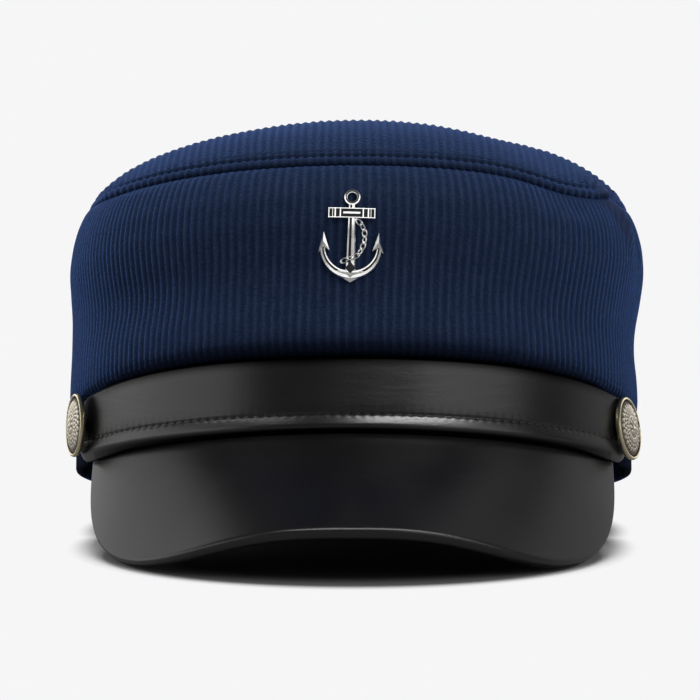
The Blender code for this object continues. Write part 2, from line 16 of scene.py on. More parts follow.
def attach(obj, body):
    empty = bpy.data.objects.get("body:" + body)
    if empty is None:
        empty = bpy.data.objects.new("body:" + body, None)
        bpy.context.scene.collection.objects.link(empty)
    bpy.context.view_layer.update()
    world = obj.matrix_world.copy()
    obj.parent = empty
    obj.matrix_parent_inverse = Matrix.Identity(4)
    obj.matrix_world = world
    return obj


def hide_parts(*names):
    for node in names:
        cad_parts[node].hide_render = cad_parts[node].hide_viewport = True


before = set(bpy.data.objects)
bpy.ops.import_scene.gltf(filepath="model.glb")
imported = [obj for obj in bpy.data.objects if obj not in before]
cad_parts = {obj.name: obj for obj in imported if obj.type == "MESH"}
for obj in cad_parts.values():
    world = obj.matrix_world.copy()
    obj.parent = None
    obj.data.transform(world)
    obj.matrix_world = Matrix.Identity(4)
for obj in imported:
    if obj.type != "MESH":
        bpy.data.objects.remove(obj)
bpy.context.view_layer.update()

bl_info = {
    "name": "Corduroy Cap",
    "version": (1, 0, 0),
    "blender": (4, 5, 0),
    "location": "View3D > Sidebar > Cap",
    "description": "Builds a ribbed cloth cap with a leather peak and strap, metal buttons and a badge",
    "category": "Object",
}

# Headband
BAND_HALF_WIDTH = 0.0860
BAND_HALF_DEPTH = 0.1030
BAND_WALL = 0.0024
BAND_TUCK = 0.0030
RIM_SAG = 0.0017
RIM_FLAT = 0.0006

# Crown
CLOTH = 0.0014
UNDENTED_HEM = 0.20
CROWN_LOW = 0.0237
SEAM_FRONT = 0.0762
SEAM_SIDE_RISE = 0.0030
SIDE_SEAM_LAP = 0.0002
DOME_BASE = 0.0775
TOP_EDGE_LIFT = 0.0013
TOP_HALF_WIDTH = 0.0846
TOP_HALF_DEPTH = 0.1018
SEAM_DIP = 0.0022
SEAM_DIP_DEG = 46.0
SEAM_DIP_HALF_DEG = 13.0
SEAM_BACK_FALL = 0.0020
CROWN_LEAN = 0.0012
LEAN_FROM = 0.0300
LEAN_OVER = 0.0380
CROWN_HEART = Vector((0.0, 0.0, 0.0450))

# Strap
STRAP_HEIGHT = 0.0214
STRAP_FALL = 0.0062
STRAP_THICK = 0.0016
STRAP_HEM = 0.0044
STRAP_END_DEG = 69.0
STRAP_END_RADIUS = 0.0075
STRAP_LAP = 0.0006
STRAP_LOW = 0.0009
STRAP_BEVEL = 0.0008
# Painted shade on the strap: how far down from its top it reaches, how far up from its hem, and within what angle of
# the front the hem's shade lies
STRAP_SHADE = 0.0034
STRAP_HEM_SHADE = 0.0011
STRAP_HEM_SHADE_OVER = math.radians(60.0)
STRAP_HOLE_RADIUS = 0.0022
STRAP_HOLE_DEPTH = 0.0120

# Peak
PEAK_HALF_WIDTH = 0.0774
PEAK_FRONT = 0.1470
PEAK_BACK = 0.0440
PEAK_THICK = 0.0036
PEAK_ROUND = 0.0013
PEAK_ROOT_TUCK = 0.0015
PEAK_KNEE = 0.0050
PEAK_ROOT_LIFT = 0.0008
PEAK_ROOT_REACH = 0.0110
PEAK_SLOPE_MIDDLE = math.radians(34.4)
PEAK_SLOPE_SIDE = math.radians(45.9)
PEAK_SLOPE_REACH = 0.0720
PEAK_CORNER_POWER = 2.0

# Buttons and badge
BUTTON_ANGLE_DEG = 65.5
BUTTON_HEIGHT = 0.0092
ANCHOR_HEIGHT = 0.0546
ANCHOR_BACK = 0.0003
BADGE_LEAN = math.radians(1.6)

# The way the cap rests
REST_TILT = math.radians(10.471)
REST_SHIFT = 0.0162
REST_LIFT = BAND_HALF_DEPTH * math.sin(REST_TILT) - RIM_FLAT * math.cos(REST_TILT)
REST = Matrix.Translation((0.0, REST_SHIFT, REST_LIFT)) @ Matrix.Rotation(-REST_TILT, 4, "X")

FIT = 0.0003
WELD = 1e-6
COLUMNS_PER_WALE = 6
WALE_SHARPNESS = 1.15
WALE_SUNK = 0.55


class WallRow(NamedTuple):
    """One height of the crown's wall: share of its height, and how far it stands out from the headband."""

    share: float
    side: float
    front: float


WALL_ROWS = (
    WallRow(0.000, 0.0018, 0.0024),
    WallRow(0.040, 0.0020, 0.0030),
    WallRow(0.150, 0.0019, 0.0025),
    WallRow(0.280, 0.0017, 0.0019),
    WallRow(0.420, 0.0019, 0.0023),
    WallRow(0.560, 0.0026, 0.0037),
    WallRow(0.680, 0.0032, 0.0049),
    WallRow(0.790, 0.0028, 0.0050),
    WallRow(0.880, 0.0017, 0.0036),
    WallRow(0.945, 0.0003, 0.0016),
    WallRow(0.985, -0.0010, -0.0006),
    WallRow(1.000, -0.0020, -0.0020),
)


class DomeRow(NamedTuple):
    """One ring of the top: share of the way out from its middle, and height over the dome's base."""

    share: float
    rise: float


DOME_ROWS = (
    DomeRow(0.000, 0.0284),
    DomeRow(0.250, 0.0268),
    DomeRow(0.410, 0.0244),
    DomeRow(0.520, 0.0222),
    DomeRow(0.666, 0.0183),
    DomeRow(0.788, 0.0145),
    DomeRow(0.873, 0.0106),
    DomeRow(0.923, 0.0072),
    DomeRow(0.966, 0.0036),
    DomeRow(0.990, 0.0012),
    DomeRow(1.000, 0.0000),
)


class Dent(NamedTuple):
    """A soft hollow, or a swelling if its depth is negative: its middle, its depth and its half widths."""

    angle_deg: float
    share: float
    depth: float
    half_angle_deg: float
    half_share: float


DENTS = (
    Dent(-47.0, 0.36, 0.0014, 17.0, 0.14),
    Dent(38.0, 0.32, 0.0008, 20.0, 0.14),
    Dent(80.0, 0.34, 0.0008, 18.0, 0.16),
    Dent(-70.0, 0.68, -0.0006, 20.0, 0.18),
    Dent(46.0, 0.93, 0.0010, 9.0, 0.07),
    Dent(150.0, 0.45, 0.0018, 16.0, 0.20),
    Dent(-155.0, 0.55, 0.0016, 18.0, 0.22),
)
TOP_DENTS = (Dent(68.0, 0.72, -0.0008, 34.0, 0.24),)

# The soft fold that runs down the crown's right shoulder
FOLD_LINE = (
    Vector((0.0700, -0.0500, 0.0845)),
    Vector((0.0750, -0.0520, 0.0790)),
    Vector((0.0780, -0.0492, 0.0748)),
    Vector((0.0798, -0.0464, 0.0715)),
    Vector((0.0816, -0.0440, 0.0676)),
    Vector((0.0838, -0.0400, 0.0642)),
    Vector((0.0868, -0.0300, 0.0605)),
)
FOLD_HEIGHT = 0.0028
FOLD_HALF_WIDTH = 0.0026
FOLD_LEAD = 0.10
# The paler stripe along the fold's ridge: partly rubbed pile, partly painted highlight on the ridge
FOLD_RUB_HIGHLIGHT_HALF_WIDTH = 0.0032
# Painted shade in the hollow behind the fold: its half width and its depth
FOLD_DARK_HALF_WIDTH = 0.0042
FOLD_SHADE = 0.14
FOLD_HOLLOW = 0.0018
FOLD_HOLLOW_SHIFT = Vector((0.0025, 0.0110, 0.0012))
FOLD_HOLLOW_HALF_WIDTH = 0.0062


class ButtonSeat(NamedTuple):
    """Where a button sits: the cap's side, how far it faces forward and up, its height, and how far it stands off
    the headband."""

    name: str
    side: int
    forward_deg: float
    up_deg: float
    height: float
    stand_off: float


BUTTON_SEATS = (
    ButtonSeat("button_left", -1, 19.5, 0.0, BUTTON_HEIGHT - 0.0002, 0.0034),
    ButtonSeat("button_right", 1, 24.0, 5.0, BUTTON_HEIGHT - 0.0014, 0.0028),
)
BUTTON_SIZE = Matrix.Diagonal((0.97, 0.97, 1.0, 1.0))


class ButtonPoint(NamedTuple):
    """One point of the button's profile: distance from its axis, height over its back."""

    radius: float
    height: float


BUTTON_PROFILE = (
    ButtonPoint(0.00000, -0.00300),
    ButtonPoint(0.00170, -0.00300),
    ButtonPoint(0.00170, 0.00000),
    ButtonPoint(0.00900, 0.00005),
    ButtonPoint(0.00950, 0.00030),
    ButtonPoint(0.00975, 0.00080),
    ButtonPoint(0.00975, 0.00120),
    ButtonPoint(0.00955, 0.00165),
    ButtonPoint(0.00920, 0.00185),
    ButtonPoint(0.00890, 0.00175),
    ButtonPoint(0.00875, 0.00145),
    ButtonPoint(0.00862, 0.00115),
    ButtonPoint(0.00850, 0.00115),
    ButtonPoint(0.00842, 0.00145),
)
FACE_RADIUS = 0.0083
FACE_RINGS = 36
FACE_EDGE = 0.00160
FACE_DOME = 0.00115


def read_table(rows, share, column):
    """A smooth curve through one column of a table, by cubic pieces with limited slopes."""
    known = [row[0] for row in rows]
    values = [row[column] for row in rows]
    last = len(rows) - 1
    steps = [(values[i + 1] - values[i]) / (known[i + 1] - known[i]) for i in range(last)]
    at = min(max(i for i in range(last) if known[i] <= max(share, known[0])), last - 1)

    def slope(i):
        if i in (0, last):
            return steps[min(i, last - 1)]
        if steps[i - 1] * steps[i] <= 0:
            return 0.0
        return 2 * steps[i - 1] * steps[i] / (steps[i - 1] + steps[i])

    width = known[at + 1] - known[at]
    t = (share - known[at]) / width
    keep = values[at] * (1 + 2 * t) * (1 - t) ** 2 + values[at + 1] * t * t * (3 - 2 * t)
    lean = width * (slope(at) * t * (1 - t) ** 2 - slope(at + 1) * t * t * (1 - t))
    return keep + lean


def oval(angle, half_width, half_depth, height):
    """A point of a head-shaped oval; the angle is 0 at the front and grows towards the viewer's right."""
    return Vector((half_width * math.sin(angle), -half_depth * math.cos(angle), height))


def band_oval(angle, out, height):
    """A point that stands so far out from the headband."""
    return oval(angle, BAND_HALF_WIDTH + out, BAND_HALF_DEPTH + out, height)


def oval_normal(angle, half_width, half_depth):
    return Vector((half_depth * math.sin(angle), -half_width * math.cos(angle), 0.0)).normalized()


def rim_height(angle):
    return -RIM_SAG * math.sin(angle) ** 2


def strap_top(angle):
    return STRAP_HEIGHT - STRAP_FALL * math.sin(angle) ** 4


def strap_low(angle):
    return rim_height(angle) + STRAP_LOW


def crown_low(angle):
    return strap_top(angle) + CROWN_LOW - STRAP_HEIGHT


def bump(distance, half_width):
    return math.exp(-((distance / half_width) ** 2))


def smooth(share):
    """0 below 0, 1 above 1 and a soft step between."""
    share = min(1.0, max(0.0, share))
    return share * share * (3.0 - 2.0 * share)


def seam_height(angle):
    """The seam round the top rises at the sides, dips over the right shoulder and is lower behind."""
    degrees = math.degrees(angle)
    side = SEAM_SIDE_RISE * math.sin(angle) ** 12
    shoulder = SEAM_DIP * bump(degrees - SEAM_DIP_DEG, SEAM_DIP_HALF_DEG)
    behind = SEAM_BACK_FALL * max(0.0, -math.cos(angle)) ** 2
    return SEAM_FRONT + side - shoulder - behind


def fold_lift(point):
    """How far the shoulder fold lifts the cloth at a point, or the hollow behind the fold sinks it."""
    lift = line_lift(point, FOLD_HALF_WIDTH)
    behind = line_lift(point - FOLD_HOLLOW_SHIFT, FOLD_HOLLOW_HALF_WIDTH)
    return FOLD_HEIGHT * lift - FOLD_HOLLOW * behind


def nearest_on(line, point):
    """How far a point lies from a line of straight pieces, and the share of the line at which it lies nearest."""
    nearest, along = math.inf, 0.0
    for i, (start, end) in enumerate(zip(line, line[1:])):
        t = min(1.0, max(0.0, (point - start).dot(end - start) / (end - start).length_squared))
        distance = (point - start.lerp(end, t)).length
        if distance < nearest:
            nearest, along = distance, (i + t) / (len(line) - 1)
    return nearest, along


def line_lift(point, half_width):
    """From 0 to 1, how near a point lies to the fold's line, fading towards the line's ends."""
    distance, along = nearest_on(FOLD_LINE, point)
    fade = math.sqrt(math.sin(math.pi * min(1.0, along + FOLD_LEAD)))
    return fade * bump(distance, half_width)


# Painted shade in the hollow behind the shoulder fold
def fold_shade(point):
    return FOLD_SHADE * line_lift(point - FOLD_HOLLOW_SHIFT, FOLD_DARK_HALF_WIDTH)


def crown_lean(height):
    """How far the soft crown has slumped towards the viewer's right at a height."""
    return CROWN_LEAN * smooth((height - LEAN_FROM) / LEAN_OVER)


def slumped(point):
    """A point of the crown as drawn, moved by the crown's lean and by the shoulder fold."""
    leaned = point + Vector((crown_lean(point.z), 0.0, 0.0))
    return leaned + (leaned - CROWN_HEART).normalized() * fold_lift(leaned)


def dented(dents, angle, share):
    """How deep the dents are at a place."""
    inwards = 0.0
    for dent in dents:
        turn = (math.degrees(angle) - dent.angle_deg + 180.0) % 360.0 - 180.0
        near = bump(turn, dent.half_angle_deg) * bump(share - dent.share, dent.half_share)
        inwards += dent.depth * near
    return inwards


def wall_half_size(share):
    """Half the width and half the depth of the crown's wall, at a share of its height."""
    return BAND_HALF_WIDTH + read_table(WALL_ROWS, share, 1), BAND_HALF_DEPTH + read_table(WALL_ROWS, share, 2)


def wall_point(angle, share):
    """The crown's wall from its lower edge (share 0) to the seam under the top (share 1)."""
    inwards = dented(DENTS, angle, share) * min(1.0, share / UNDENTED_HEM)
    half_width, half_depth = wall_half_size(share)
    low = crown_low(angle)
    height = low + share * (seam_height(angle) - low)
    return slumped(oval(angle, half_width - inwards, half_depth - inwards, height))


def top_point(angle, share):
    """The top of the crown, from its middle (share 0) to its edge over the seam (share 1)."""
    edge = seam_height(angle) + TOP_EDGE_LIFT
    base = DOME_BASE + (edge - DOME_BASE) * share**2
    height = base + read_table(DOME_ROWS, share, 1) - dented(TOP_DENTS, angle, share)
    return slumped(oval(angle, TOP_HALF_WIDTH * share, TOP_HALF_DEPTH * share, height))


def peak_outline(x):
    """How far forward the peak's edge lies at a distance from the middle."""
    inner = 1.0 - abs(x / PEAK_HALF_WIDTH) ** PEAK_CORNER_POWER
    return -PEAK_BACK - (PEAK_FRONT - PEAK_BACK) * math.sqrt(max(0.0, inner))


def peak_root(x):
    """How far forward the peak's root lies, under the headband's rim, and the turn round the band there."""
    angle = math.asin(x / (BAND_HALF_WIDTH - PEAK_ROOT_TUCK))
    return -(BAND_HALF_DEPTH - PEAK_ROOT_TUCK) * math.cos(angle), angle


def peak_height(x, y):
    """The height of the peak's upper side."""
    root, angle = peak_root(x)
    run = max(0.0, root - y)
    reach = math.sin(0.5 * math.pi * min(1.0, abs(x) / PEAK_SLOPE_REACH)) ** 3
    slope = math.tan(PEAK_SLOPE_MIDDLE + (PEAK_SLOPE_SIDE - PEAK_SLOPE_MIDDLE) * reach)
    drop = slope * (run**2 / (2 * PEAK_KNEE) if run < PEAK_KNEE else run - 0.5 * PEAK_KNEE)
    lift = PEAK_ROOT_LIFT * (1.0 - smooth(run / PEAK_ROOT_REACH))
    return rim_height(angle) - FIT - drop + lift


def peak_point(across, out):
    """The peak's upper side, from its root under the headband's rim (out 0) to its edge (out 1)."""
    x = PEAK_HALF_WIDTH * math.sin(0.5 * math.pi * (2.0 * across - 1.0))
    root, _ = peak_root(x)
    y = root - out * (root - peak_outline(x))
    return Vector((x, y, peak_height(x, y)))


def peak_normal(point):
    step = 1e-5
    across = peak_height(point.x + step, point.y) - peak_height(point.x - step, point.y)
    along = peak_height(point.x, point.y + step) - peak_height(point.x, point.y - step)
    return Vector((-across, -along, 2.0 * step)).normalized()


def turned_to(x_way, y_way, z_way):
    """A turn that lays X, Y and Z along three directions."""
    return Matrix((x_way, y_way, z_way)).transposed().to_4x4()


def button_matrix(seat):
    """The button's place on the strap, its own +Z facing away from the cap."""
    seated = band_oval(seat.side * math.radians(BUTTON_ANGLE_DEG), 0.0, seat.height)
    sideways = seat.side * math.cos(math.radians(seat.forward_deg))
    forwards = math.sin(math.radians(seat.forward_deg))
    upwards = math.tan(math.radians(seat.up_deg))
    facing = Vector((sideways, -forwards, upwards)).normalized()
    level = Vector((0.0, 0.0, 1.0)).cross(facing).normalized()
    turn = turned_to(level, facing.cross(level), facing)
    return Matrix.Translation(seated + seat.stand_off * facing) @ turn @ BUTTON_SIZE


def on_front_panel(right, up, out):
    """A point of the badge: across, up and out from its middle, bent to the front of the crown."""
    right, up = right + BADGE_LEAN * up, up - BADGE_LEAN * right
    height = ANCHOR_HEIGHT + up
    half_width, half_depth = wall_half_size((height - CROWN_LOW) / (SEAM_FRONT - CROWN_LOW))
    angle = math.asin((right - crown_lean(height)) / half_width)
    low = crown_low(angle)
    wall = wall_point(angle, (height - low) / (seam_height(angle) - low))
    return wall + (ANCHOR_BACK + out) * oval_normal(angle, half_width, half_depth)


def evenly_along(places, points, pitch):
    """Places a sixth of a wale apart along a line of points, with the arc length at each."""
    arc = [0.0]
    for before, after in zip(points, points[1:]):
        arc.append(arc[-1] + (after - before).length)
    steps = max(1, round(arc[-1] / pitch)) * COLUMNS_PER_WALE
    made = []
    at = 0
    for i in range(steps + 1):
        goal = arc[-1] * i / steps
        while at < len(places) - 2 and arc[at + 1] < goal:
            at += 1
        t = (goal - arc[at]) / (arc[at + 1] - arc[at])
        made.append((places[at] + t * (places[at + 1] - places[at]), goal))
    return made


def even_angles(first_deg, last_deg, half_width, half_depth, pitch):
    """Angles a sixth of a wale apart along an oval, with the arc length at each."""
    fine = 2000
    first, last = math.radians(first_deg), math.radians(last_deg)
    turns = [first + (last - first) * i / fine for i in range(fine + 1)]
    return evenly_along(turns, [oval(turn, half_width, half_depth, 0.0) for turn in turns], pitch)


def wale_height(column):
    """The rib between two furrows: 0 in the furrow and 1 on the crest."""
    share = (column % COLUMNS_PER_WALE) / COLUMNS_PER_WALE
    return (0.5 - 0.5 * math.cos(math.tau * share)) ** WALE_SHARPNESS


class Waver(NamedTuple):
    """An unevenness of the cloth: its waves in a metre across and along the ribs, its seed and its size."""

    across: float
    along: float
    seed: float
    size: float


# How ribs stray sideways, in metres, and how full they stand, as a share
STRAYING = (Waver(45.0, 50.0, 3.0, 0.00034), Waver(230.0, 90.0, 9.0, 0.00016))
FULLNESS = Waver(190.0, 120.0, 5.0, 0.30)
MEAN_FULLNESS = 0.92


def uneven(waver, across, along):
    return waver.size * noise.noise(Vector((waver.across * across, waver.along * along, waver.seed)))


def wander(across, along):
    """How far a rib strays sideways at a place on the cloth."""
    return sum(uneven(waver, across, along) for waver in STRAYING)


def fullness(across, along):
    """How full a rib's pile stands at a place on the cloth, about 1."""
    return MEAN_FULLNESS + uneven(FULLNESS, across, along)


class ClothPoint(NamedTuple):
    """A point of ribbed cloth: its place, its rib's height, where it lies across and along the ribs, how flat the
    rib is pressed there, how deep its painted shade is, and how far its pile is rubbed pale, which is partly a
    painted highlight on the fold's ridge."""

    place: Vector
    wale: float
    across: float
    along: float
    pressed: float = 0.0
    shade: float = 0.0
    rubbed: float = 0.0


def welded(bm):
    """Joins the points that lie together and turns the faces outwards."""
    bmesh.ops.remove_doubles(bm, verts=bm.verts, dist=WELD)
    bmesh.ops.recalc_face_normals(bm, faces=bm.faces)
    return bm


def cloth_sheet(columns, rows, lay):
    """A grid laid out by a function that gives the cloth point of a column and a row."""
    bm = bmesh.new()
    bmesh.ops.create_grid(bm, x_segments=columns, y_segments=rows, size=0.5)
    values = [(name, bm.verts.layers.float.new(name)) for name in ("wale", "pressed", "shade", "rubbed")]
    cloth = bm.verts.layers.float_vector.new("cloth")
    for vertex in bm.verts:
        point = lay(round((vertex.co.x + 0.5) * columns), round((vertex.co.y + 0.5) * rows))
        vertex.co = point.place
        vertex[cloth] = (point.across, point.along, 0.0)
        for name, layer in values:
            vertex[layer] = getattr(point, name)
    return welded(bm)


def plain_sheet(columns, rows, place):
    """A grid whose points are placed by a function of two shares from 0 to 1."""
    bm = bmesh.new()
    bmesh.ops.create_grid(bm, x_segments=columns, y_segments=rows, size=0.5)
    for vertex in bm.verts:
        vertex.co = place(vertex.co.x + 0.5, vertex.co.y + 0.5)
    return welded(bm)


def tube(sections):
    """A surface through closed sections, each a list of points in the same order."""
    rings = [section + section[:1] for section in sections]
    columns = len(sections) - 1
    rows = len(sections[0])
    return plain_sheet(columns, rows, lambda u, v: rings[round(u * columns)][round(v * rows)])


def face_outwards(bm, heart):
    """Turns the faces of an open sheet away from a point inside it."""
    sample = max(bm.faces, key=lambda face: face.calc_area())
    if sample.normal.dot(sample.calc_center_median() - heart) < 0:
        bmesh.ops.reverse_faces(bm, faces=bm.faces)


def push_out(bm, far):
    """Moves each vertex along its normal, as far as a function of the vertex says."""
    bm.normal_update()
    moves = [vertex.normal * far(vertex) for vertex in bm.verts]
    for vertex, move in zip(bm.verts, moves):
        vertex.co += move


def raise_wales(bm, relief):
    """Pushes the ribs out along the surface."""
    wale = bm.verts.layers.float["wale"]
    pressed = bm.verts.layers.float["pressed"]
    push_out(bm, lambda vertex: relief * (1.0 - vertex[pressed]) * (vertex[wale] - WALE_SUNK))


def close_ends(bm):
    bmesh.ops.holes_fill(bm, edges=[edge for edge in bm.edges if edge.is_boundary])
    bmesh.ops.recalc_face_normals(bm, faces=bm.faces)


def spin_round(bm, steps):
    """Turns a profile once round Z."""
    bmesh.ops.spin(
        bm, geom=bm.verts[:] + bm.edges[:], axis=(0.0, 0.0, 1.0), cent=(0.0, 0.0, 0.0),
        angle=math.tau, steps=steps, use_merge=True,
    )  # fmt: skip
    bmesh.ops.remove_doubles(bm, verts=bm.verts, dist=WELD)


def paint(bm, name, value_at):
    """Gives each vertex a named value, worked out from its place."""
    layer = bm.verts.layers.float.new(name)
    for vertex in bm.verts:
        vertex[layer] = value_at(vertex.co)


def mesh_of(name, bm):
    """Turns a bmesh into a mesh, and frees it."""
    mesh = bpy.data.meshes.new(name)
    bm.to_mesh(mesh)
    bm.free()
    return mesh


def put_in_scene(name, data):
    made = bpy.data.objects.new(name, data)
    bpy.context.scene.collection.objects.link(made)
    return made


def join_into(bm, other):
    """Adds another bmesh to this one."""
    mesh = mesh_of("joined", other)
    bm.from_mesh(mesh)
    bpy.data.meshes.remove(mesh)


def add_piece(name, bm, material, nodes=(), smooth_under_deg=40.0, placed=REST):
    """Turns a bmesh into a piece at rest, standing for its nodes."""
    bmesh.ops.transform(bm, matrix=placed, verts=bm.verts)
    mesh = mesh_of(name, bm)
    mesh.shade_smooth()
    mesh.set_sharp_from_angle(angle=math.radians(smooth_under_deg))
    mesh.materials.append(material)
    piece = put_in_scene(name, mesh)
    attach(piece, "root")
    if nodes:
        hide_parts(*nodes)
    return piece


def add_cloth(node, bm):
    """A piece of corduroy that stands for one of the cap's parts."""
    return add_piece(node + "_cloth", bm, corduroy(), (node,), smooth_under_deg=80.0)


def cover_shaded(piece, least_half, least_full):
    """Gives the faces that lie deep enough in painted shade the half shaded or the fully shaded copy of the cloth."""
    mesh = piece.data
    mesh.materials.append(corduroy(0.5))
    mesh.materials.append(corduroy(1.0))
    shade = mesh.attributes["shade"].data
    for face in mesh.polygons:
        depth = min(shade[i].value for i in face.vertices)
        face.material_index = (depth >= least_half) + (depth >= least_full)


def give_thickness(piece, thickness):
    wall = piece.modifiers.new("thickness", "SOLIDIFY")
    wall.thickness = thickness
    wall.offset = -1.0
    wall.use_even_offset = False


def new_group(name, inputs, outputs):
    """An empty shader group with its named sockets: (name, socket type, default)."""
    group = bpy.data.node_groups.new(name, "ShaderNodeTree")
    for label, kind, default in inputs:
        socket = group.interface.new_socket(label, in_out="INPUT", socket_type=kind)
        if default is not None:
            socket.default_value = default
    for label, kind in outputs:
        group.interface.new_socket(label, in_out="OUTPUT", socket_type=kind)
    start = group.nodes.new("NodeGroupInput")
    end = group.nodes.new("NodeGroupOutput")
    return group, start.outputs, end.inputs


def feed(tree, node, inputs):
    """Gives a node's inputs, by name or number, a link or a constant."""
    for label, value in dict(inputs).items():
        if isinstance(value, bpy.types.NodeSocket):
            tree.links.new(value, node.inputs[label])
        else:
            node.inputs[label].default_value = value


def add_node(tree, kind, inputs=(), **settings):
    """A shader node with its settings and its inputs."""
    node = tree.nodes.new("ShaderNode" + kind)
    for name, value in settings.items():
        setattr(node, name, value)
    feed(tree, node, inputs)
    return node


def math_node(tree, operation, *values, clamp=False):
    return add_node(tree, "Math", enumerate(values), operation=operation, use_clamp=clamp).outputs["Value"]


def vector_node(tree, operation, *values):
    return add_node(tree, "VectorMath", enumerate(values), operation=operation).outputs


def mix_colours(tree, share, first, second):
    """A mix of two colours, whose sockets are numbers 0, 6 and 7 of the node and 2 of its outputs."""
    return add_node(tree, "Mix", {0: share, 6: first, 7: second}, data_type="RGBA").outputs[2]


def noise_node(tree, vector, scale, detail, roughness=0.5):
    inputs = {"Vector": vector, "Scale": scale, "Detail": detail, "Roughness": roughness}
    return add_node(tree, "TexNoise", inputs).outputs["Fac"]


def grain_group():
    """Fine grain for cloth and leather: a height for bumps, and a slow mask for patches."""
    name = "surface_grain"
    if name in bpy.data.node_groups:
        return bpy.data.node_groups[name]
    inputs = (
        ("Vector", "NodeSocketVector", None),
        ("Grain Scale", "NodeSocketFloat", 1500.0),
        ("Patch Scale", "NodeSocketFloat", 25.0),
    )
    outputs = (("Height", "NodeSocketFloat"), ("Patches", "NodeSocketFloat"))
    group, given, out = new_group(name, inputs, outputs)
    fine = noise_node(group, given["Vector"], given["Grain Scale"], 3.0, 0.6)
    slow = noise_node(group, given["Vector"], given["Patch Scale"], 2.0)
    group.links.new(fine, out["Height"])
    group.links.new(slow, out["Patches"])
    return group


def object_place(tree):
    return add_node(tree, "TexCoord").outputs["Object"]


def pile_group():
    """Tufts of pile, as wide and as long as the stretch makes them: a height from 0 to 1."""
    name = "pile_tufts"
    if name in bpy.data.node_groups:
        return bpy.data.node_groups[name]
    inputs = (("Vector", "NodeSocketVector", None), ("Stretch", "NodeSocketVector", (900.0, 2400.0, 1000.0)))
    group, given, out = new_group(name, inputs, (("Height", "NodeSocketFloat"),))
    scaled = vector_node(group, "MULTIPLY", given["Vector"], given["Stretch"])["Vector"]
    group.links.new(noise_node(group, scaled, 1.0, 2.0, 0.6), out["Height"])
    return group


def hollow_group():
    """Darkens the hollows of a relief: takes its height from 0 to 1 and two colours."""
    name = "hollow_tarnish"
    if name in bpy.data.node_groups:
        return bpy.data.node_groups[name]
    inputs = (
        ("Relief", "NodeSocketFloat", 1.0),
        ("Raised", "NodeSocketColor", (0.8, 0.8, 0.8, 1.0)),
        ("Hollow", "NodeSocketColor", (0.05, 0.05, 0.05, 1.0)),
        ("Edge", "NodeSocketFloat", 0.5),
    )
    outputs = (("Color", "NodeSocketColor"), ("Tarnish", "NodeSocketFloat"))
    group, given, out = new_group(name, inputs, outputs)
    sharp = soft_step(group, given["Relief"], 0.0, given["Edge"])
    group.links.new(mix_colours(group, sharp, given["Hollow"], given["Raised"]), out["Color"])
    group.links.new(math_node(group, "SUBTRACT", 1.0, sharp), out["Tarnish"])
    return group


def place_group(tree, group, **values):
    """A group placed in a material, with its own values or links."""
    node = add_node(tree, "Group", node_tree=group)
    feed(tree, node, {label.replace("_", " "): value for label, value in values.items()})
    return node.outputs


def new_material(name):
    made = bpy.data.materials.new(name)
    made.use_nodes = True
    return made, made.node_tree, made.node_tree.nodes["Principled BSDF"]


def rgba(colour, share=1.0):
    """A colour, or so much of it, with its alpha."""
    return (share * colour[0], share * colour[1], share * colour[2], 1.0)


def soft_step(tree, value, low, high):
    inputs = {"Value": value, "From Min": low, "From Max": high}
    return add_node(tree, "MapRange", inputs, interpolation_type="SMOOTHSTEP").outputs["Result"]


def named_attribute(tree, name, output="Fac"):
    return add_node(tree, "Attribute", attribute_name=name).outputs[output]


def add_bump(tree, shader, height, strength, distance):
    inputs = {"Strength": strength, "Distance": distance, "Height": height}
    feed(tree, shader, {"Normal": add_node(tree, "Bump", inputs).outputs["Normal"]})


# Tufts and clumps of pile in a metre: across the ribs, along them, and through the cloth
TUFTS = (1500.0, 1200.0, 1000.0)
CLUMPS = (620.0, 260.0, 1000.0)
# The painted shade's colour, as a share of the patch colour
DEEP_SHADE = 0.12
THREAD_SHADE = 0.45


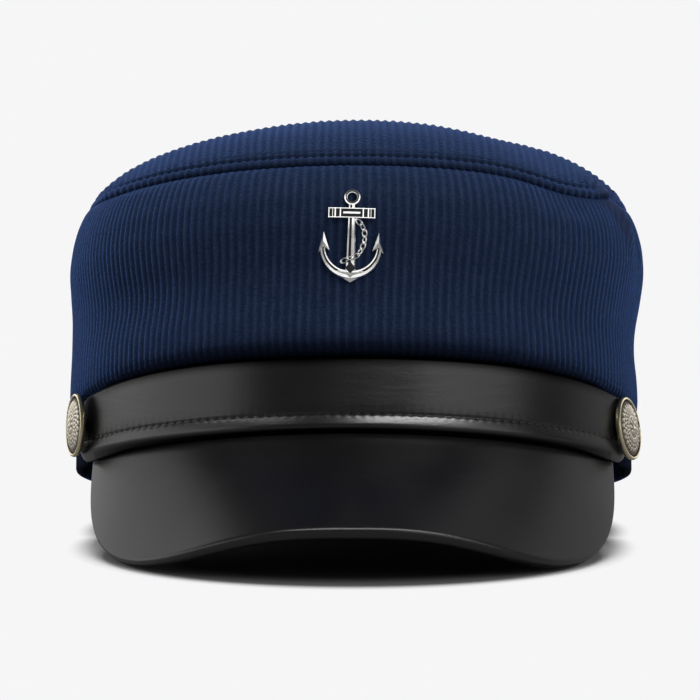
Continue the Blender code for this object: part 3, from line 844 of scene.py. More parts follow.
def corduroy(painted_shade=0.0):
    """Ribbed pile cloth: dark furrows, partly the backing's colour and partly painted shade, lighter crests, and a
    soft sheen where the pile is seen side on.

    Its half shaded and shaded copies, where the strap, the crown's hem or the fold would shade it, have less sheen,
    or none, as painted shade."""
    name = {0.0: "navy_corduroy", 0.5: "half_covered_corduroy", 1.0: "covered_corduroy"}[painted_shade]
    if name in bpy.data.materials:
        return bpy.data.materials[name]
    cloth = bpy.context.scene.cap_cloth
    made, tree, shader = new_material(name)
    place = named_attribute(tree, "cloth", "Vector")
    grain = place_group(tree, grain_group(), Vector=place, Grain_Scale=1100.0, Patch_Scale=60.0)
    tufts = place_group(tree, pile_group(), Vector=place, Stretch=TUFTS)["Height"]
    clumps = place_group(tree, pile_group(), Vector=place, Stretch=CLUMPS)["Height"]
    tufted = math_node(tree, "MULTIPLY_ADD", tufts, 1.6, -0.8)
    clumped = math_node(tree, "MULTIPLY_ADD", clumps, 1.2, -0.6)
    narrow = math_node(tree, "POWER", named_attribute(tree, "wale"), 1.7)
    crest = math_node(tree, "ADD", narrow, math_node(tree, "ADD", tufted, clumped), clamp=True)
    # Furrows darker than crests: partly the backing's own colour, partly painted shade in the furrows
    pile = mix_colours(tree, crest, rgba(cloth.furrow_colour), rgba(cloth.pile_colour))
    worn = mix_colours(tree, grain["Patches"], pile, rgba(cloth.patch_and_shadow_colour))
    blend = mix_colours(tree, 0.45, pile, worn)
    # A paler stripe along the fold: partly rubbed pile, partly painted highlight on the fold's ridge
    rubbed = math_node(tree, "MULTIPLY", named_attribute(tree, "rubbed"), 0.60)
    blend = mix_colours(tree, rubbed, blend, rgba(cloth.rubbed_highlight_colour))
    # Painted shade: the shade attribute darkens the colour towards a near black blue
    painted_shadow_colour = rgba(cloth.patch_and_shadow_colour, DEEP_SHADE)
    inputs = {
        "Base Color": mix_colours(tree, named_attribute(tree, "shade"), blend, painted_shadow_colour),
        "Roughness": 0.92,
        "Specular IOR Level": 0.04,
        # Less sheen or none in the shaded copies: painted shade
        "Sheen Weight": (1.0 - painted_shade) * cloth.sheen,
        "Sheen Roughness": 0.38,
        "Sheen Tint": rgba(cloth.sheen_colour),
    }
    feed(tree, shader, inputs)
    add_bump(tree, shader, tufts, 0.8, 0.0005)
    return made


def leather():
    """Smooth black leather with a fine grain and a soft, uneven shine, which is painted out to black where the
    shade attribute paints shade.
    """
    name = "black_leather"
    if name in bpy.data.materials:
        return bpy.data.materials[name]
    hide = bpy.context.scene.cap_leather
    made, tree, shader = new_material(name)
    place = object_place(tree)
    grain = place_group(tree, grain_group(), Vector=place, Grain_Scale=hide.grain, Patch_Scale=45.0)
    shade = named_attribute(tree, "shade")
    colour = mix_colours(tree, grain["Patches"], rgba(hide.colour), rgba(hide.worn_colour))
    inputs = {
        # Painted shade: where the shade attribute is set the leather turns black metal, which reflects almost nothing
        "Base Color": mix_colours(tree, shade, colour, (0.0, 0.0, 0.0, 1.0)),
        "Roughness": math_node(tree, "MULTIPLY_ADD", grain["Patches"], 0.10, hide.roughness - 0.05),
        "Metallic": shade,
    }
    feed(tree, shader, inputs)
    creases = place_group(tree, pile_group(), Vector=place, Stretch=(55.0, 55.0, 420.0))
    add_bump(tree, shader, math_node(tree, "MULTIPLY_ADD", creases["Height"], 2.0, grain["Height"]), 0.10, 0.0003)
    return made


def thread(name, colour):
    """Twisted sewing thread."""
    if name in bpy.data.materials:
        return bpy.data.materials[name]
    made, tree, shader = new_material(name)
    grain = place_group(tree, grain_group(), Vector=object_place(tree), Grain_Scale=4000.0, Patch_Scale=300.0)
    inputs = {
        "Base Color": mix_colours(tree, grain["Height"], rgba(colour, THREAD_SHADE), rgba(colour)),
        "Roughness": 0.95,
        "Specular IOR Level": 0.05,
    }
    feed(tree, shader, inputs)
    add_bump(tree, shader, grain["Height"], 0.5, 0.0002)
    return made


def relief_metal(name, raised, hollow, roughness, edge):
    """Plated metal, bright where it is rubbed and dark in its hollows."""
    if name in bpy.data.materials:
        return bpy.data.materials[name]
    made, tree, shader = new_material(name)
    relief = named_attribute(tree, "relief")
    grain = place_group(tree, grain_group(), Vector=object_place(tree), Grain_Scale=2500.0, Patch_Scale=400.0)
    tarnish = place_group(
        tree, hollow_group(), Relief=relief, Raised=rgba(raised), Hollow=rgba(hollow), Edge=edge
    )
    spots = math_node(tree, "MULTIPLY", grain["Patches"], 0.15)
    dull = math_node(tree, "MULTIPLY_ADD", tarnish["Tarnish"], 0.3, spots)
    inputs = {
        "Base Color": tarnish["Color"],
        "Roughness": math_node(tree, "ADD", dull, roughness),
        "Metallic": 1.0,
    }
    feed(tree, shader, inputs)
    add_bump(tree, shader, grain["Height"], 0.06, 0.0002)
    return made


class CapCloth(bpy.types.PropertyGroup):
    """The ribbed cloth of the crown and the headband."""

    wale_pitch: FloatProperty(
        name="Wale pitch", description="Distance from one rib to the next", default=0.00265, unit="LENGTH"
    )
    top_pitch: FloatProperty(
        name="Top wale pitch", description="Distance from one rib to the next on the top", default=0.0024, unit="LENGTH"
    )
    wale_relief: FloatProperty(
        name="Wale relief", description="Height of a rib over its furrows", default=0.00050, unit="LENGTH"
    )
    pile_colour: FloatVectorProperty(
        name="Pile", description="Colour on the crests of the ribs", default=(0.0240, 0.0380, 0.0800), subtype="COLOR"
    )
    # Partly the backing's own colour and partly painted shade in the furrows
    furrow_colour: FloatVectorProperty(
        name="Furrow", description="Colour in the furrows", default=(0.0090, 0.0170, 0.0415), subtype="COLOR"
    )
    # Also the base of the painted shade's colour
    patch_and_shadow_colour: FloatVectorProperty(
        name="Shade", description="Colour of slow darker patches", default=(0.010, 0.020, 0.056), subtype="COLOR"
    )
    # Partly rubbed pile and partly painted highlight on the fold's ridge
    rubbed_highlight_colour: FloatVectorProperty(
        name="Rubbed", description="Colour where a fold has rubbed the pile", default=(0.052, 0.070, 0.148),
        subtype="COLOR",
    )
    sheen_colour: FloatVectorProperty(
        name="Sheen", description="Tint of the pile seen side on", default=(0.13, 0.28, 0.80), subtype="COLOR"
    )
    sheen: FloatProperty(name="Sheen amount", description="Strength of the pile's sheen", default=0.6, min=0.0)


class CapLeather(bpy.types.PropertyGroup):
    """The leather of the peak and the strap."""

    colour: FloatVectorProperty(
        name="Leather", description="Colour of the leather", default=(0.0034, 0.0030, 0.0034), subtype="COLOR"
    )
    worn_colour: FloatVectorProperty(
        name="Worn", description="Colour of its slightly paler patches", default=(0.0052, 0.0048, 0.0052),
        subtype="COLOR",
    )
    roughness: FloatProperty(
        name="Roughness", description="How far the shine is spread", default=0.31, subtype="FACTOR"
    )
    grain: FloatProperty(name="Grain", description="Grains in a metre, along each axis", default=1100.0)
    stitch_pitch: FloatProperty(
        name="Stitch pitch", description="Distance from one stitch to the next", default=0.0030, unit="LENGTH"
    )


class CapMetal(bpy.types.PropertyGroup):
    """The buttons and the badge."""

    button_colour: FloatVectorProperty(
        name="Button face", description="Worn face of the buttons", default=(0.62, 0.57, 0.47), subtype="COLOR"
    )
    rim_colour: FloatVectorProperty(
        name="Button rim", description="Paler gold of the rim", default=(0.66, 0.60, 0.41), subtype="COLOR"
    )
    tarnish_colour: FloatVectorProperty(
        name="Tarnish", description="Colour in the hollows", default=(0.120, 0.098, 0.074), subtype="COLOR"
    )
    badge_colour: FloatVectorProperty(
        name="Badge", description="Plate on the badge", default=(0.88, 0.88, 0.86), subtype="COLOR"
    )
    leaves: IntProperty(name="Leaves", description="Leaves in each row on a button", default=24, min=4)


class CapStudio(bpy.types.PropertyGroup):
    """The camera and the lights."""

    azimuth: FloatProperty(
        name="Azimuth", description="How far the camera stands round to the right", default=math.radians(0.5),
        subtype="ANGLE",
    )
    elevation: FloatProperty(
        name="Elevation", description="How far the camera looks down", default=math.radians(2.5), subtype="ANGLE"
    )
    distance: FloatProperty(
        name="Distance", description="From the camera to the middle of the view", default=0.900, unit="LENGTH"
    )
    focal_mm: FloatProperty(name="Focal length", description="In millimetres, on a 36 mm sensor", default=148.8)
    power: FloatProperty(name="Light", description="Multiplies the power of every softbox", default=1.0, min=0.0)
    air: FloatProperty(name="Room light", description="Strength of the pale light all round", default=0.07)


def wall_shares(rows):
    """Heights up the crown's wall, closer together at the hem and at the seam."""
    shares = [i / rows for i in range(rows + 1)]
    return [0.45 * t + 0.55 * 0.5 * (1.0 - math.cos(math.pi * t)) for t in shares]


# How far the ribs are pressed flat next to a seam
SEAM_PRESS = 0.0020

# How the crown's hem turns in over the strap: (inwards, down) from the wall's lower edge
HEM_TURN = ((0.0021, 0.0019), (0.0015, 0.0020), (0.0009, 0.0018), (0.0004, 0.0012), (0.0001, 0.0006))
# Painted shade on the crown's hem under its overhang over the strap: its half height at the sides and more at the
# front, and its depth at the sides and more at the front
HEM_SHADE = 0.0030
HEM_SHADE_FRONT = 0.0022
HEM_PAINTED_SHADE_SIDE = 0.35
HEM_PAINTED_SHADE_FRONT = 0.60

# The wall's rows, the row of its table that gives its usual size, and how many columns from a seam its ribs run true
WALL_STEPS = 46
USUAL_ROW = WALL_ROWS[5]
TRUE_COLUMNS = 12.0

# How flat the ribs are pressed in the hem, over the sides and where the fold is rubbed
HEM_PRESSED = 0.5
SIDE_PRESSED = 0.55
SIDE_PRESS_FROM = 0.68
SIDE_PRESS_OVER = 0.26
RUBBED_PRESSED = 0.8

# From how much painted shade the cloth takes its half shaded copy and its shaded copy, with less sheen or none
WALL_SHADED_FROM = (0.45, 0.66)
BAND_SHADED_FROM = (0.03, 0.30)


def crown_wall(name, first_deg, last_deg):
    """One panel of the crown's wall, its ribs upright and its hem turned in."""
    cloth = bpy.context.scene.cap_cloth
    half_width = BAND_HALF_WIDTH + USUAL_ROW.side
    half_depth = BAND_HALF_DEPTH + USUAL_ROW.front
    columns = even_angles(first_deg, last_deg, half_width, half_depth, cloth.wale_pitch)
    turned = len(HEM_TURN)
    shares = wall_shares(WALL_STEPS)
    height = SEAM_FRONT - CROWN_LOW

    def lay(i, j):
        angle, across = columns[i]
        share = shares[max(0, j - turned)]
        loose = smooth(min(i, len(columns) - 1 - i) / TRUE_COLUMNS)
        angle += loose * wander(across, share * height) / half_depth
        inwards, down = HEM_TURN[j] if j < turned else (0.0, 0.0)
        point = wall_point(angle, share) - inwards * oval_normal(angle, half_width, half_depth)
        point -= Vector((0.0, 0.0, down))
        along = share * height - down
        # The fold's paler stripe, partly rubbed pile and partly painted highlight
        rubbed = line_lift(point, FOLD_RUB_HIGHLIGHT_HALF_WIDTH)
        pressed = max(
            bump((1.0 - share) * height, SEAM_PRESS),
            HEM_PRESSED if j < turned else 0.0,
            SIDE_PRESSED * smooth((abs(math.sin(angle)) - SIDE_PRESS_FROM) / SIDE_PRESS_OVER),
            RUBBED_PRESSED * rubbed,
        )
        # Painted shade along the hem, deeper and taller at the front
        front = max(0.0, math.cos(angle))
        dark = HEM_PAINTED_SHADE_SIDE + HEM_PAINTED_SHADE_FRONT * front
        hem = dark * bump(along + HEM_TURN[1][1], HEM_SHADE + HEM_SHADE_FRONT * front)
        rib = wale_height(i) * fullness(across, along)
        return ClothPoint(point, rib, across, along, pressed, max(hem, fold_shade(point)), rubbed)

    bm = cloth_sheet(len(columns) - 1, len(shares) - 1 + turned, lay)
    face_outwards(bm, CROWN_HEART)
    raise_wales(bm, cloth.wale_relief)
    piece = add_cloth(name, bm)
    cover_shaded(piece, *WALL_SHADED_FROM)
    give_thickness(piece, CLOTH)


class CAP_OT_crown_wall(bpy.types.Operator):
    """Builds the front and back panels of the crown's wall"""

    bl_idname = "cap.crown_wall"
    bl_label = "Crown wall"

    def execute(self, context):
        lap_deg = math.degrees(SIDE_SEAM_LAP / BAND_HALF_WIDTH)
        crown_wall("front_panel", -90.0 - lap_deg, 90.0 + lap_deg)
        crown_wall("back_panel", 90.0, 270.0)
        return {"FINISHED"}


class EdgeRow(NamedTuple):
    """A rise along the top's edge, or a groove if its height is negative: its distance in from the edge, its height
    and its half width."""

    at: float
    height: float
    half_width: float


WELT = EdgeRow(0.0004, 0.00035, 0.0009)
GAP = EdgeRow(0.0018, -0.00045, 0.0005)
RIDGE = EdgeRow(0.0030, 0.00045, 0.0007)
CHANNEL = EdgeRow(0.0042, -0.00045, 0.0005)
EDGE_SLOPE = 1.5
TOP_STEPS = 1500

# Over the sides the edge lies flush with the wall: how far in from the edge, and how far it is drawn in
SIDE_FLUSH_HALF_WIDTH = 0.0030
SIDE_DRAWN_IN = 0.0007
SIDE_FLUSH_PRESSED = 0.95
RIDGE_PRESSED = 0.8
RIDGE_PRESS_HALF_WIDTH = 0.0012
# Painted shade on the edge where it turns down to the wall, and in the gap behind the welt
EDGE_PAINTED_SHADE = 0.8
GAP_PAINTED_SHADE = 0.35

# The stitches round the top and along the strap's hem
TOP_STITCH_PITCH = 0.0032
TOP_STITCH_LENGTH = 0.0023
TOP_STITCH_RADIUS = 0.00024
TOP_STITCH_RAISED = 0.0003
STRAP_STITCH_LENGTH = 0.0019
STRAP_STITCH_RADIUS = 0.00014
STRAP_STITCH_SUNK = 0.00034

# How the edge turns down to the wall: (outwards, down) from the edge
EDGE_TURN = ((-0.0008, 0.0017), (-0.0002, 0.0015), (0.0001, 0.0010), (0.0002, 0.0005))

# Rows along a rib, as shares of the way in from its end to its middle
CHORD_STEPS = (
    0.0, 0.002, 0.004, 0.006, 0.008, 0.010, 0.012, 0.014, 0.016, 0.018, 0.020, 0.022, 0.024, 0.026, 0.028, 0.031,
    0.035, 0.041, 0.050, 0.064, 0.085, 0.115, 0.155, 0.205, 0.270, 0.350, 0.450, 0.570, 0.700, 0.850, 1.0,
)  # fmt: skip


def edge_distance(share, angle):
    """How far a place on the top lies from its edge, along the cloth."""
    radius = oval(angle, TOP_HALF_WIDTH, TOP_HALF_DEPTH, 0.0).length
    return (1.0 - share) * radius * EDGE_SLOPE


EDGE_CALMED = 0.95
CALM_FROM = 0.86
CALM_OVER = 0.10


def side_calm(angle):
    """The edge lies flatter where it comes over the sides."""
    return 1.0 - EDGE_CALMED * smooth((abs(math.sin(angle)) - CALM_FROM) / CALM_OVER)


def top_edge_profile(distance):
    """How the edge stands out: a welt, the gap behind it, a ridge, then the channel of the stitches."""
    return sum(row.height * bump(distance - row.at, row.half_width) for row in (WELT, GAP, RIDGE, CHANNEL))


def top_columns(pitch):
    """Distances across the top a sixth of a wale apart along the cloth, from side to side."""
    xs = [-1.0 + 2.0 * i / TOP_STEPS for i in range(TOP_STEPS + 1)]
    return evenly_along(xs, [top_point(math.copysign(0.5 * math.pi, x), abs(x)) for x in xs], pitch)


class CAP_OT_crown_top(bpy.types.Operator):
    """Builds the top of the crown, its ribs running from front to back"""

    bl_idname = "cap.crown_top"
    bl_label = "Crown top"

    def execute(self, context):
        cloth = context.scene.cap_cloth
        columns = top_columns(cloth.top_pitch)
        ends = [-1.0 + step for step in CHORD_STEPS]
        chord = ends + [-end for end in reversed(ends[:-1])]
        turned = len(EDGE_TURN)
        last = len(chord) - 1

        def lay(i, j):
            x, across = columns[i]
            row = min(last, max(0, j - turned))
            along = TOP_HALF_DEPTH * chord[row]
            x += (1.0 - x * x) * wander(across, along) / TOP_HALF_WIDTH
            y = chord[row] * math.sqrt(max(0.0, 1.0 - x * x))
            angle, share = math.atan2(x, -y), min(1.0, math.hypot(x, y))
            inside = edge_distance(share, angle)
            past = max(turned - j, j - turned - last, 0)
            out, down = EDGE_TURN[turned - past] if past else (0.0, 0.0)
            flush = (1.0 - side_calm(angle)) * bump(inside, SIDE_FLUSH_HALF_WIDTH)
            out -= SIDE_DRAWN_IN * flush
            point = top_point(angle, share) + out * oval_normal(angle, TOP_HALF_WIDTH, TOP_HALF_DEPTH)
            point -= Vector((0.0, 0.0, down))
            # The fold's paler stripe, partly rubbed pile and partly painted highlight
            rubbed = line_lift(point, FOLD_RUB_HIGHLIGHT_HALF_WIDTH)
            pressed = max(
                RIDGE_PRESSED * bump(inside - RIDGE.at, RIDGE_PRESS_HALF_WIDTH),
                SIDE_FLUSH_PRESSED * flush,
                RUBBED_PRESSED * rubbed,
            )
            # Painted shade on the turned-down edge and in the gap behind the welt
            shade = EDGE_PAINTED_SHADE * down / EDGE_TURN[0][1] + GAP_PAINTED_SHADE * bump(inside - GAP.at, GAP.half_width)
            rib = wale_height(i) * fullness(across, along)
            return ClothPoint(point, rib, across, along, pressed, max(shade, fold_shade(point)), rubbed)

        bm = cloth_sheet(len(columns) - 1, last + 2 * turned, lay)
        face_outwards(bm, CROWN_HEART)
        push_out(bm, self.edge_lift)
        raise_wales(bm, cloth.wale_relief)
        give_thickness(add_cloth("top_panel", bm), CLOTH)
        self.stitch_edge()
        return {"FINISHED"}

    @staticmethod
    def edge_lift(vertex):
        """How far the welt, the ridge or the stitched channel moves a vertex out."""
        x = (vertex.co.x - crown_lean(vertex.co.z)) / TOP_HALF_WIDTH
        y = vertex.co.y / TOP_HALF_DEPTH
        angle = math.atan2(x, -y)
        distance = edge_distance(min(1.0, math.hypot(x, y)), angle)
        return top_edge_profile(distance) * side_calm(angle)

    def stitch_edge(self):
        """The row of stitches in the channel."""
        line = []
        count = 1440
        for i in range(count + 1):
            angle = math.tau * i / count - math.pi
            radius = oval(angle, TOP_HALF_WIDTH, TOP_HALF_DEPTH, 0.0).length
            point = top_point(angle, 1.0 - CHANNEL.at / (EDGE_SLOPE * radius))
            outwards = (point - CROWN_HEART).normalized()
            line.append((point + outwards * (CHANNEL.height + TOP_STITCH_RAISED), outwards))
        stitches = stitch_row(line, TOP_STITCH_PITCH, TOP_STITCH_LENGTH, TOP_STITCH_RADIUS)
        add_piece("top_stitches", stitches, thread("navy_thread", (0.020, 0.034, 0.080)))


def stitch_row(line, pitch, length, radius):
    """Short thread stitches along a line of (point, outward direction)."""
    bm = bmesh.new()
    travelled = 0.0
    due = 0.5 * pitch
    for (before, _), (after, outwards) in zip(line, line[1:]):
        travelled += (after - before).length
        if travelled < due:
            continue
        due += pitch
        along = (after - before).normalized()
        turn = turned_to(along, outwards.cross(along).normalized(), outwards)
        placed = Matrix.Translation(after) @ turn @ Matrix.Diagonal((0.5 * length, radius, radius, 1.0))
        bmesh.ops.create_uvsphere(bm, u_segments=6, v_segments=5, radius=1.0, matrix=placed)
    bmesh.ops.recalc_face_normals(bm, faces=bm.faces)
    return bm


# The headband's section: (inwards share, height share up to the strap's top, flare, ribbed)
BAND_SECTION = (
    (0.30, 0.00, 0.0, 0.0),
    (0.08, 0.015, 0.0, 0.3),
    (0.00, 0.05, 0.0, 1.0),
    (0.00, 0.20, 0.0, 1.0),
    (0.00, 0.45, 0.0, 1.0),
    (0.00, 0.75, 0.0, 1.0),
    (0.00, 1.00, 0.0, 1.0),
    (0.00, 1.15, 0.4, 1.0),
    (0.05, 1.30, 1.0, 0.0),
    (0.95, 1.30, 1.0, 0.0),
    (1.00, 1.00, 0.0, 0.0),
    (1.00, 0.60, 0.0, 0.0),
    (1.00, 0.20, 0.0, 0.0),
    (1.00, 0.05, 0.0, 0.0),
    (0.92, 0.015, 0.0, 0.0),
    (0.70, 0.00, 0.0, 0.0),
)


# Painted shade where the strap shades the headband: (share, degrees from the front within which it starts,
# degrees that it takes)
BAND_SHADES = ((0.60, 102.0, 18.0), (0.40, 64.0, 16.0))
BAND_RELIEF = 0.8
BAND_TUCK_SHARE = 0.30


class CAP_OT_headband(bpy.types.Operator):
    """Builds the band round the head, ribbed outside and pressed flat where it carries the cap"""

    bl_idname = "cap.headband"
    bl_label = "Headband"

    def execute(self, context):
        cloth = context.scene.cap_cloth
        columns = even_angles(-180.0, 180.0, BAND_HALF_WIDTH, BAND_HALF_DEPTH, cloth.wale_pitch)
        rows = len(BAND_SECTION)

        def lay(i, j):
            angle, across = columns[i]
            inwards, up, flare, ribbed = BAND_SECTION[j % rows]
            low, bend, top = rim_height(angle), strap_top(angle), crown_low(angle) + BAND_TUCK
            height = low + up * (bend - low) if up <= 1.0 else bend + (up - 1.0) / BAND_TUCK_SHARE * (top - bend)
            tucked = BAND_TUCK / (seam_height(angle) - crown_low(angle))
            flare_width = read_table(WALL_ROWS, tucked, 1) - CLOTH - FIT
            flare_depth = read_table(WALL_ROWS, tucked, 2) - CLOTH - FIT
            rib = wale_height(i)
            sunk = ribbed * cloth.wale_relief * (1.0 - rib) * BAND_RELIEF
            half_width = BAND_HALF_WIDTH - inwards * BAND_WALL + flare * flare_width - sunk
            half_depth = BAND_HALF_DEPTH - inwards * BAND_WALL + flare * flare_depth - sunk
            # Painted shade under the strap, darkest at the front
            turn = abs(math.degrees(angle))
            shade = sum(share * smooth((first - turn) / over) for share, first, over in BAND_SHADES)
            return ClothPoint(oval(angle, half_width, half_depth, height), rib, across, height, 0.0, shade)

        bm = cloth_sheet(len(columns) - 1, rows, lay)
        up = Vector((0.0, -math.sin(REST_TILT), math.cos(REST_TILT)))
        floor = Vector((0.0, BAND_HALF_DEPTH, RIM_FLAT)).dot(up)
        for vertex in bm.verts:
            vertex.co += max(0.0, floor - vertex.co.dot(up)) * up
        cover_shaded(add_cloth("headband", bm), *BAND_SHADED_FROM)
        return {"FINISHED"}


def strap_half_height(angle):
    """Half the strap's height, rounded off over its last stretch."""
    full = 0.5 * (strap_top(angle) - strap_low(angle))
    reach = BAND_HALF_WIDTH * (math.radians(STRAP_END_DEG) - abs(angle))
    if reach >= STRAP_END_RADIUS:
        return full
    past = 1.0 - max(0.0, reach) / STRAP_END_RADIUS
    return full - STRAP_END_RADIUS * (1.0 - math.sqrt(max(0.0, 1.0 - past * past)))


class HemRow(NamedTuple):
    """One row of the strap's folded hem: how far it stands out, how far the stitches pull it in as a share of their
    pull, and its height as a share of the hem's."""

    out: float
    pulled: float
    share: float


HEM_ROWS = (
    HemRow(0.00034, 0.0, 0.10),
    HemRow(0.00056, 0.0, 0.22),
    HemRow(0.00064, 0.0, 0.34),
    HemRow(0.00058, 0.0, 0.44),
    HemRow(0.00046, 0.0, 0.58),
    HemRow(0.00032, 0.0, 0.72),
    HemRow(0.00018, 0.3, 0.85),
    HemRow(0.00004, 1.0, 0.94),
    HemRow(-0.00018, 1.0, 1.00),
    HemRow(-0.00020, 1.0, 1.05),
    HemRow(-0.00006, 0.4, 1.11),
    HemRow(0.00000, 0.0, 1.22),
    HemRow(0.00000, 0.0, 1.90),
)
STITCH_PULL = 0.00009
STRAP_LAP_MORE = 0.0009
STRAP_LAP_FROM_DEG = 46.0
STRAP_LAP_OVER_DEG = 12.0


def strap_section(angle, pucker):
    """The strap's closed section: up the outside over its hem, over the top and down the inside."""
    half = strap_half_height(angle)
    middle = 0.5 * (strap_top(angle) + strap_low(angle))
    hem = strap_hem(half)
    turned = abs(math.degrees(angle))
    lap = STRAP_LAP + STRAP_LAP_MORE * smooth((turned - STRAP_LAP_FROM_DEG) / STRAP_LAP_OVER_DEG)
    outside = FIT + STRAP_THICK
    pull = STITCH_PULL * pucker
    rows = (
        (outside - 0.0009, -half - lap),
        (outside - 0.0004, -half - 0.8 * lap),
        (outside, -half - 0.2 * lap),
        *[(outside + row.out - row.pulled * pull, row.share * hem - half) for row in HEM_ROWS],
        (outside, 0.25 * half),
        # Rows that carry the painted shade under the crown's hem
        *[(outside, half - share * STRAP_SHADE) for share in (1.0, 0.7, 0.45)],
        (outside, half - STRAP_BEVEL),
        (outside - 0.9 * STRAP_BEVEL, half),
        (FIT + 0.0004, half - 0.0003),
        (FIT, half - 0.0006),
        (FIT, 0.0),
        (FIT, -half + 0.0004),
        (FIT + 0.0003, -half - lap),
    )
    return [band_oval(angle, out, middle + rise) for out, rise in rows]


def strap_angle(share):
    """Stations from end to end, closer together where the ends are rounded."""
    across = 2.0 * share - 1.0
    end = math.radians(STRAP_END_DEG - 0.25)
    return end * (0.6 * across + 0.4 * math.sin(0.5 * math.pi * across))


def strap_hem(half):
    """The height of the strap's hem, which tapers with the strap's ends."""
    return min(STRAP_HEM, 0.6 * half)


class CAP_OT_strap(bpy.types.Operator):
    """Builds the leather strap with its stitched hem"""

    bl_idname = "cap.strap"
    bl_label = "Strap"

    def execute(self, context):
        hide = context.scene.cap_leather
        stations = 420
        radius = 0.5 * (BAND_HALF_WIDTH + BAND_HALF_DEPTH)
        sections = []
        for angle in [strap_angle(i / stations) for i in range(stations + 1)]:
            sections.append(strap_section(angle, math.cos(math.tau * angle * radius / hide.stitch_pitch)))
        bm = tube(sections)
        close_ends(bm)
        paint(bm, "shade", self.shade_at)
        piece = add_piece("strap_leather", bm, leather(), ("strap",), smooth_under_deg=34.0)
        self.cut_holes(piece)

        line = []
        for angle in [strap_angle(i / 3000) for i in range(60, 2941)]:
            half = strap_half_height(angle)
            height = 0.5 * (strap_top(angle) + strap_low(angle)) - half + 1.03 * strap_hem(half)
            point = band_oval(angle, FIT + STRAP_THICK - STRAP_STITCH_SUNK, height)
            line.append((point, oval_normal(angle, BAND_HALF_WIDTH, BAND_HALF_DEPTH)))
        stitches = stitch_row(line, hide.stitch_pitch, STRAP_STITCH_LENGTH, STRAP_STITCH_RADIUS)
        add_piece("strap_stitches", stitches, thread("black_thread", (0.0030, 0.0030, 0.0032)))
        return {"FINISHED"}

    @staticmethod
    def shade_at(place):
        """Painted shade on the strap: under the crown's hem, and in front under its own hem."""
        angle = math.atan2(place.x / BAND_HALF_WIDTH, -place.y / BAND_HALF_DEPTH)
        shade = smooth(1.0 - (strap_top(angle) - place.z) / STRAP_SHADE)
        if abs(angle) < STRAP_HEM_SHADE_OVER:
            shade = max(shade, smooth((strap_low(angle) + STRAP_HEM_SHADE - place.z) / STRAP_HEM_SHADE))
        return shade

    def cut_holes(self, piece):
        """Cuts the holes for the buttons' shanks and keeps the result as the piece's mesh."""
        cutters = []
        for seat in BUTTON_SEATS:
            hole = bmesh.new()
            bmesh.ops.create_cone(
                hole, cap_ends=True, segments=24, radius1=STRAP_HOLE_RADIUS, radius2=STRAP_HOLE_RADIUS,
                depth=STRAP_HOLE_DEPTH, matrix=REST @ button_matrix(seat),
            )  # fmt: skip
            cutters.append(put_in_scene("hole_" + seat.name, mesh_of("hole", hole)))
            cut = piece.modifiers.new(seat.name, "BOOLEAN")
            cut.operation = "DIFFERENCE"
            cut.solver = "EXACT"
            cut.object = cutters[-1]
        bpy.context.view_layer.update()
        finished = piece.evaluated_get(bpy.context.evaluated_depsgraph_get())
        plain = piece.data
        piece.data = bpy.data.meshes.new_from_object(finished)
        piece.modifiers.clear()
        bpy.data.meshes.remove(plain)
        for cutter in cutters:
            bpy.data.objects.remove(cutter, do_unlink=True)


# How dark the painted shade on the peak's underside is, and how far down its thickness that starts and then
# takes, as shares
UNDERSIDE_SHADE = 0.9
UNDERSIDE_FROM = 0.95
UNDERSIDE_OVER = 0.25


class CAP_OT_peak(bpy.types.Operator):
    """Builds the stiff leather peak with its rounded edge"""

    bl_idname = "cap.peak"
    bl_label = "Peak"

    def execute(self, context):
        columns, rows = 160, 40
        border = [peak_point(i / columns, 1.0) for i in range(columns + 1)]
        border = [peak_point(0.0, 0.0), *border, peak_point(1.0, 0.0)]
        sections = []
        for i in range(columns + 1):
            upper, lower = [], []
            for j in range(rows + 1):
                point = peak_point(i / columns, 1.0 - (1.0 - j / rows) ** 2)
                normal = peak_normal(point)
                near = max(0.0, PEAK_ROUND - nearest_on(border, point)[0])
                sunk = PEAK_ROUND - math.sqrt(PEAK_ROUND**2 - near**2)
                upper.append(point - sunk * normal)
                lower.append(point - (PEAK_THICK - sunk) * normal)
            sections.append(upper + lower[::-1])
        bm = tube(sections)
        close_ends(bm)
        paint(bm, "shade", self.shade_at)
        add_piece("peak_leather", bm, leather(), ("peak",), smooth_under_deg=50.0)
        return {"FINISHED"}

    @staticmethod
    def shade_at(place):
        """Painted shade: the peak's underside is painted dark."""
        under = peak_height(place.x, place.y) - place.z
        return UNDERSIDE_SHADE * smooth((under / PEAK_THICK - UNDERSIDE_FROM) / UNDERSIDE_OVER)


# The rings of the button's ornament end at these radii, in millimetres
BOSS_MM = 0.8
ROSETTE_MM = 3.1
CORD_MM = 4.0
LEAVES_MM = 7.6
LEAF_ROW_MM = 1.2
PETALS = 8.0
CORD_STRANDS = 36.0


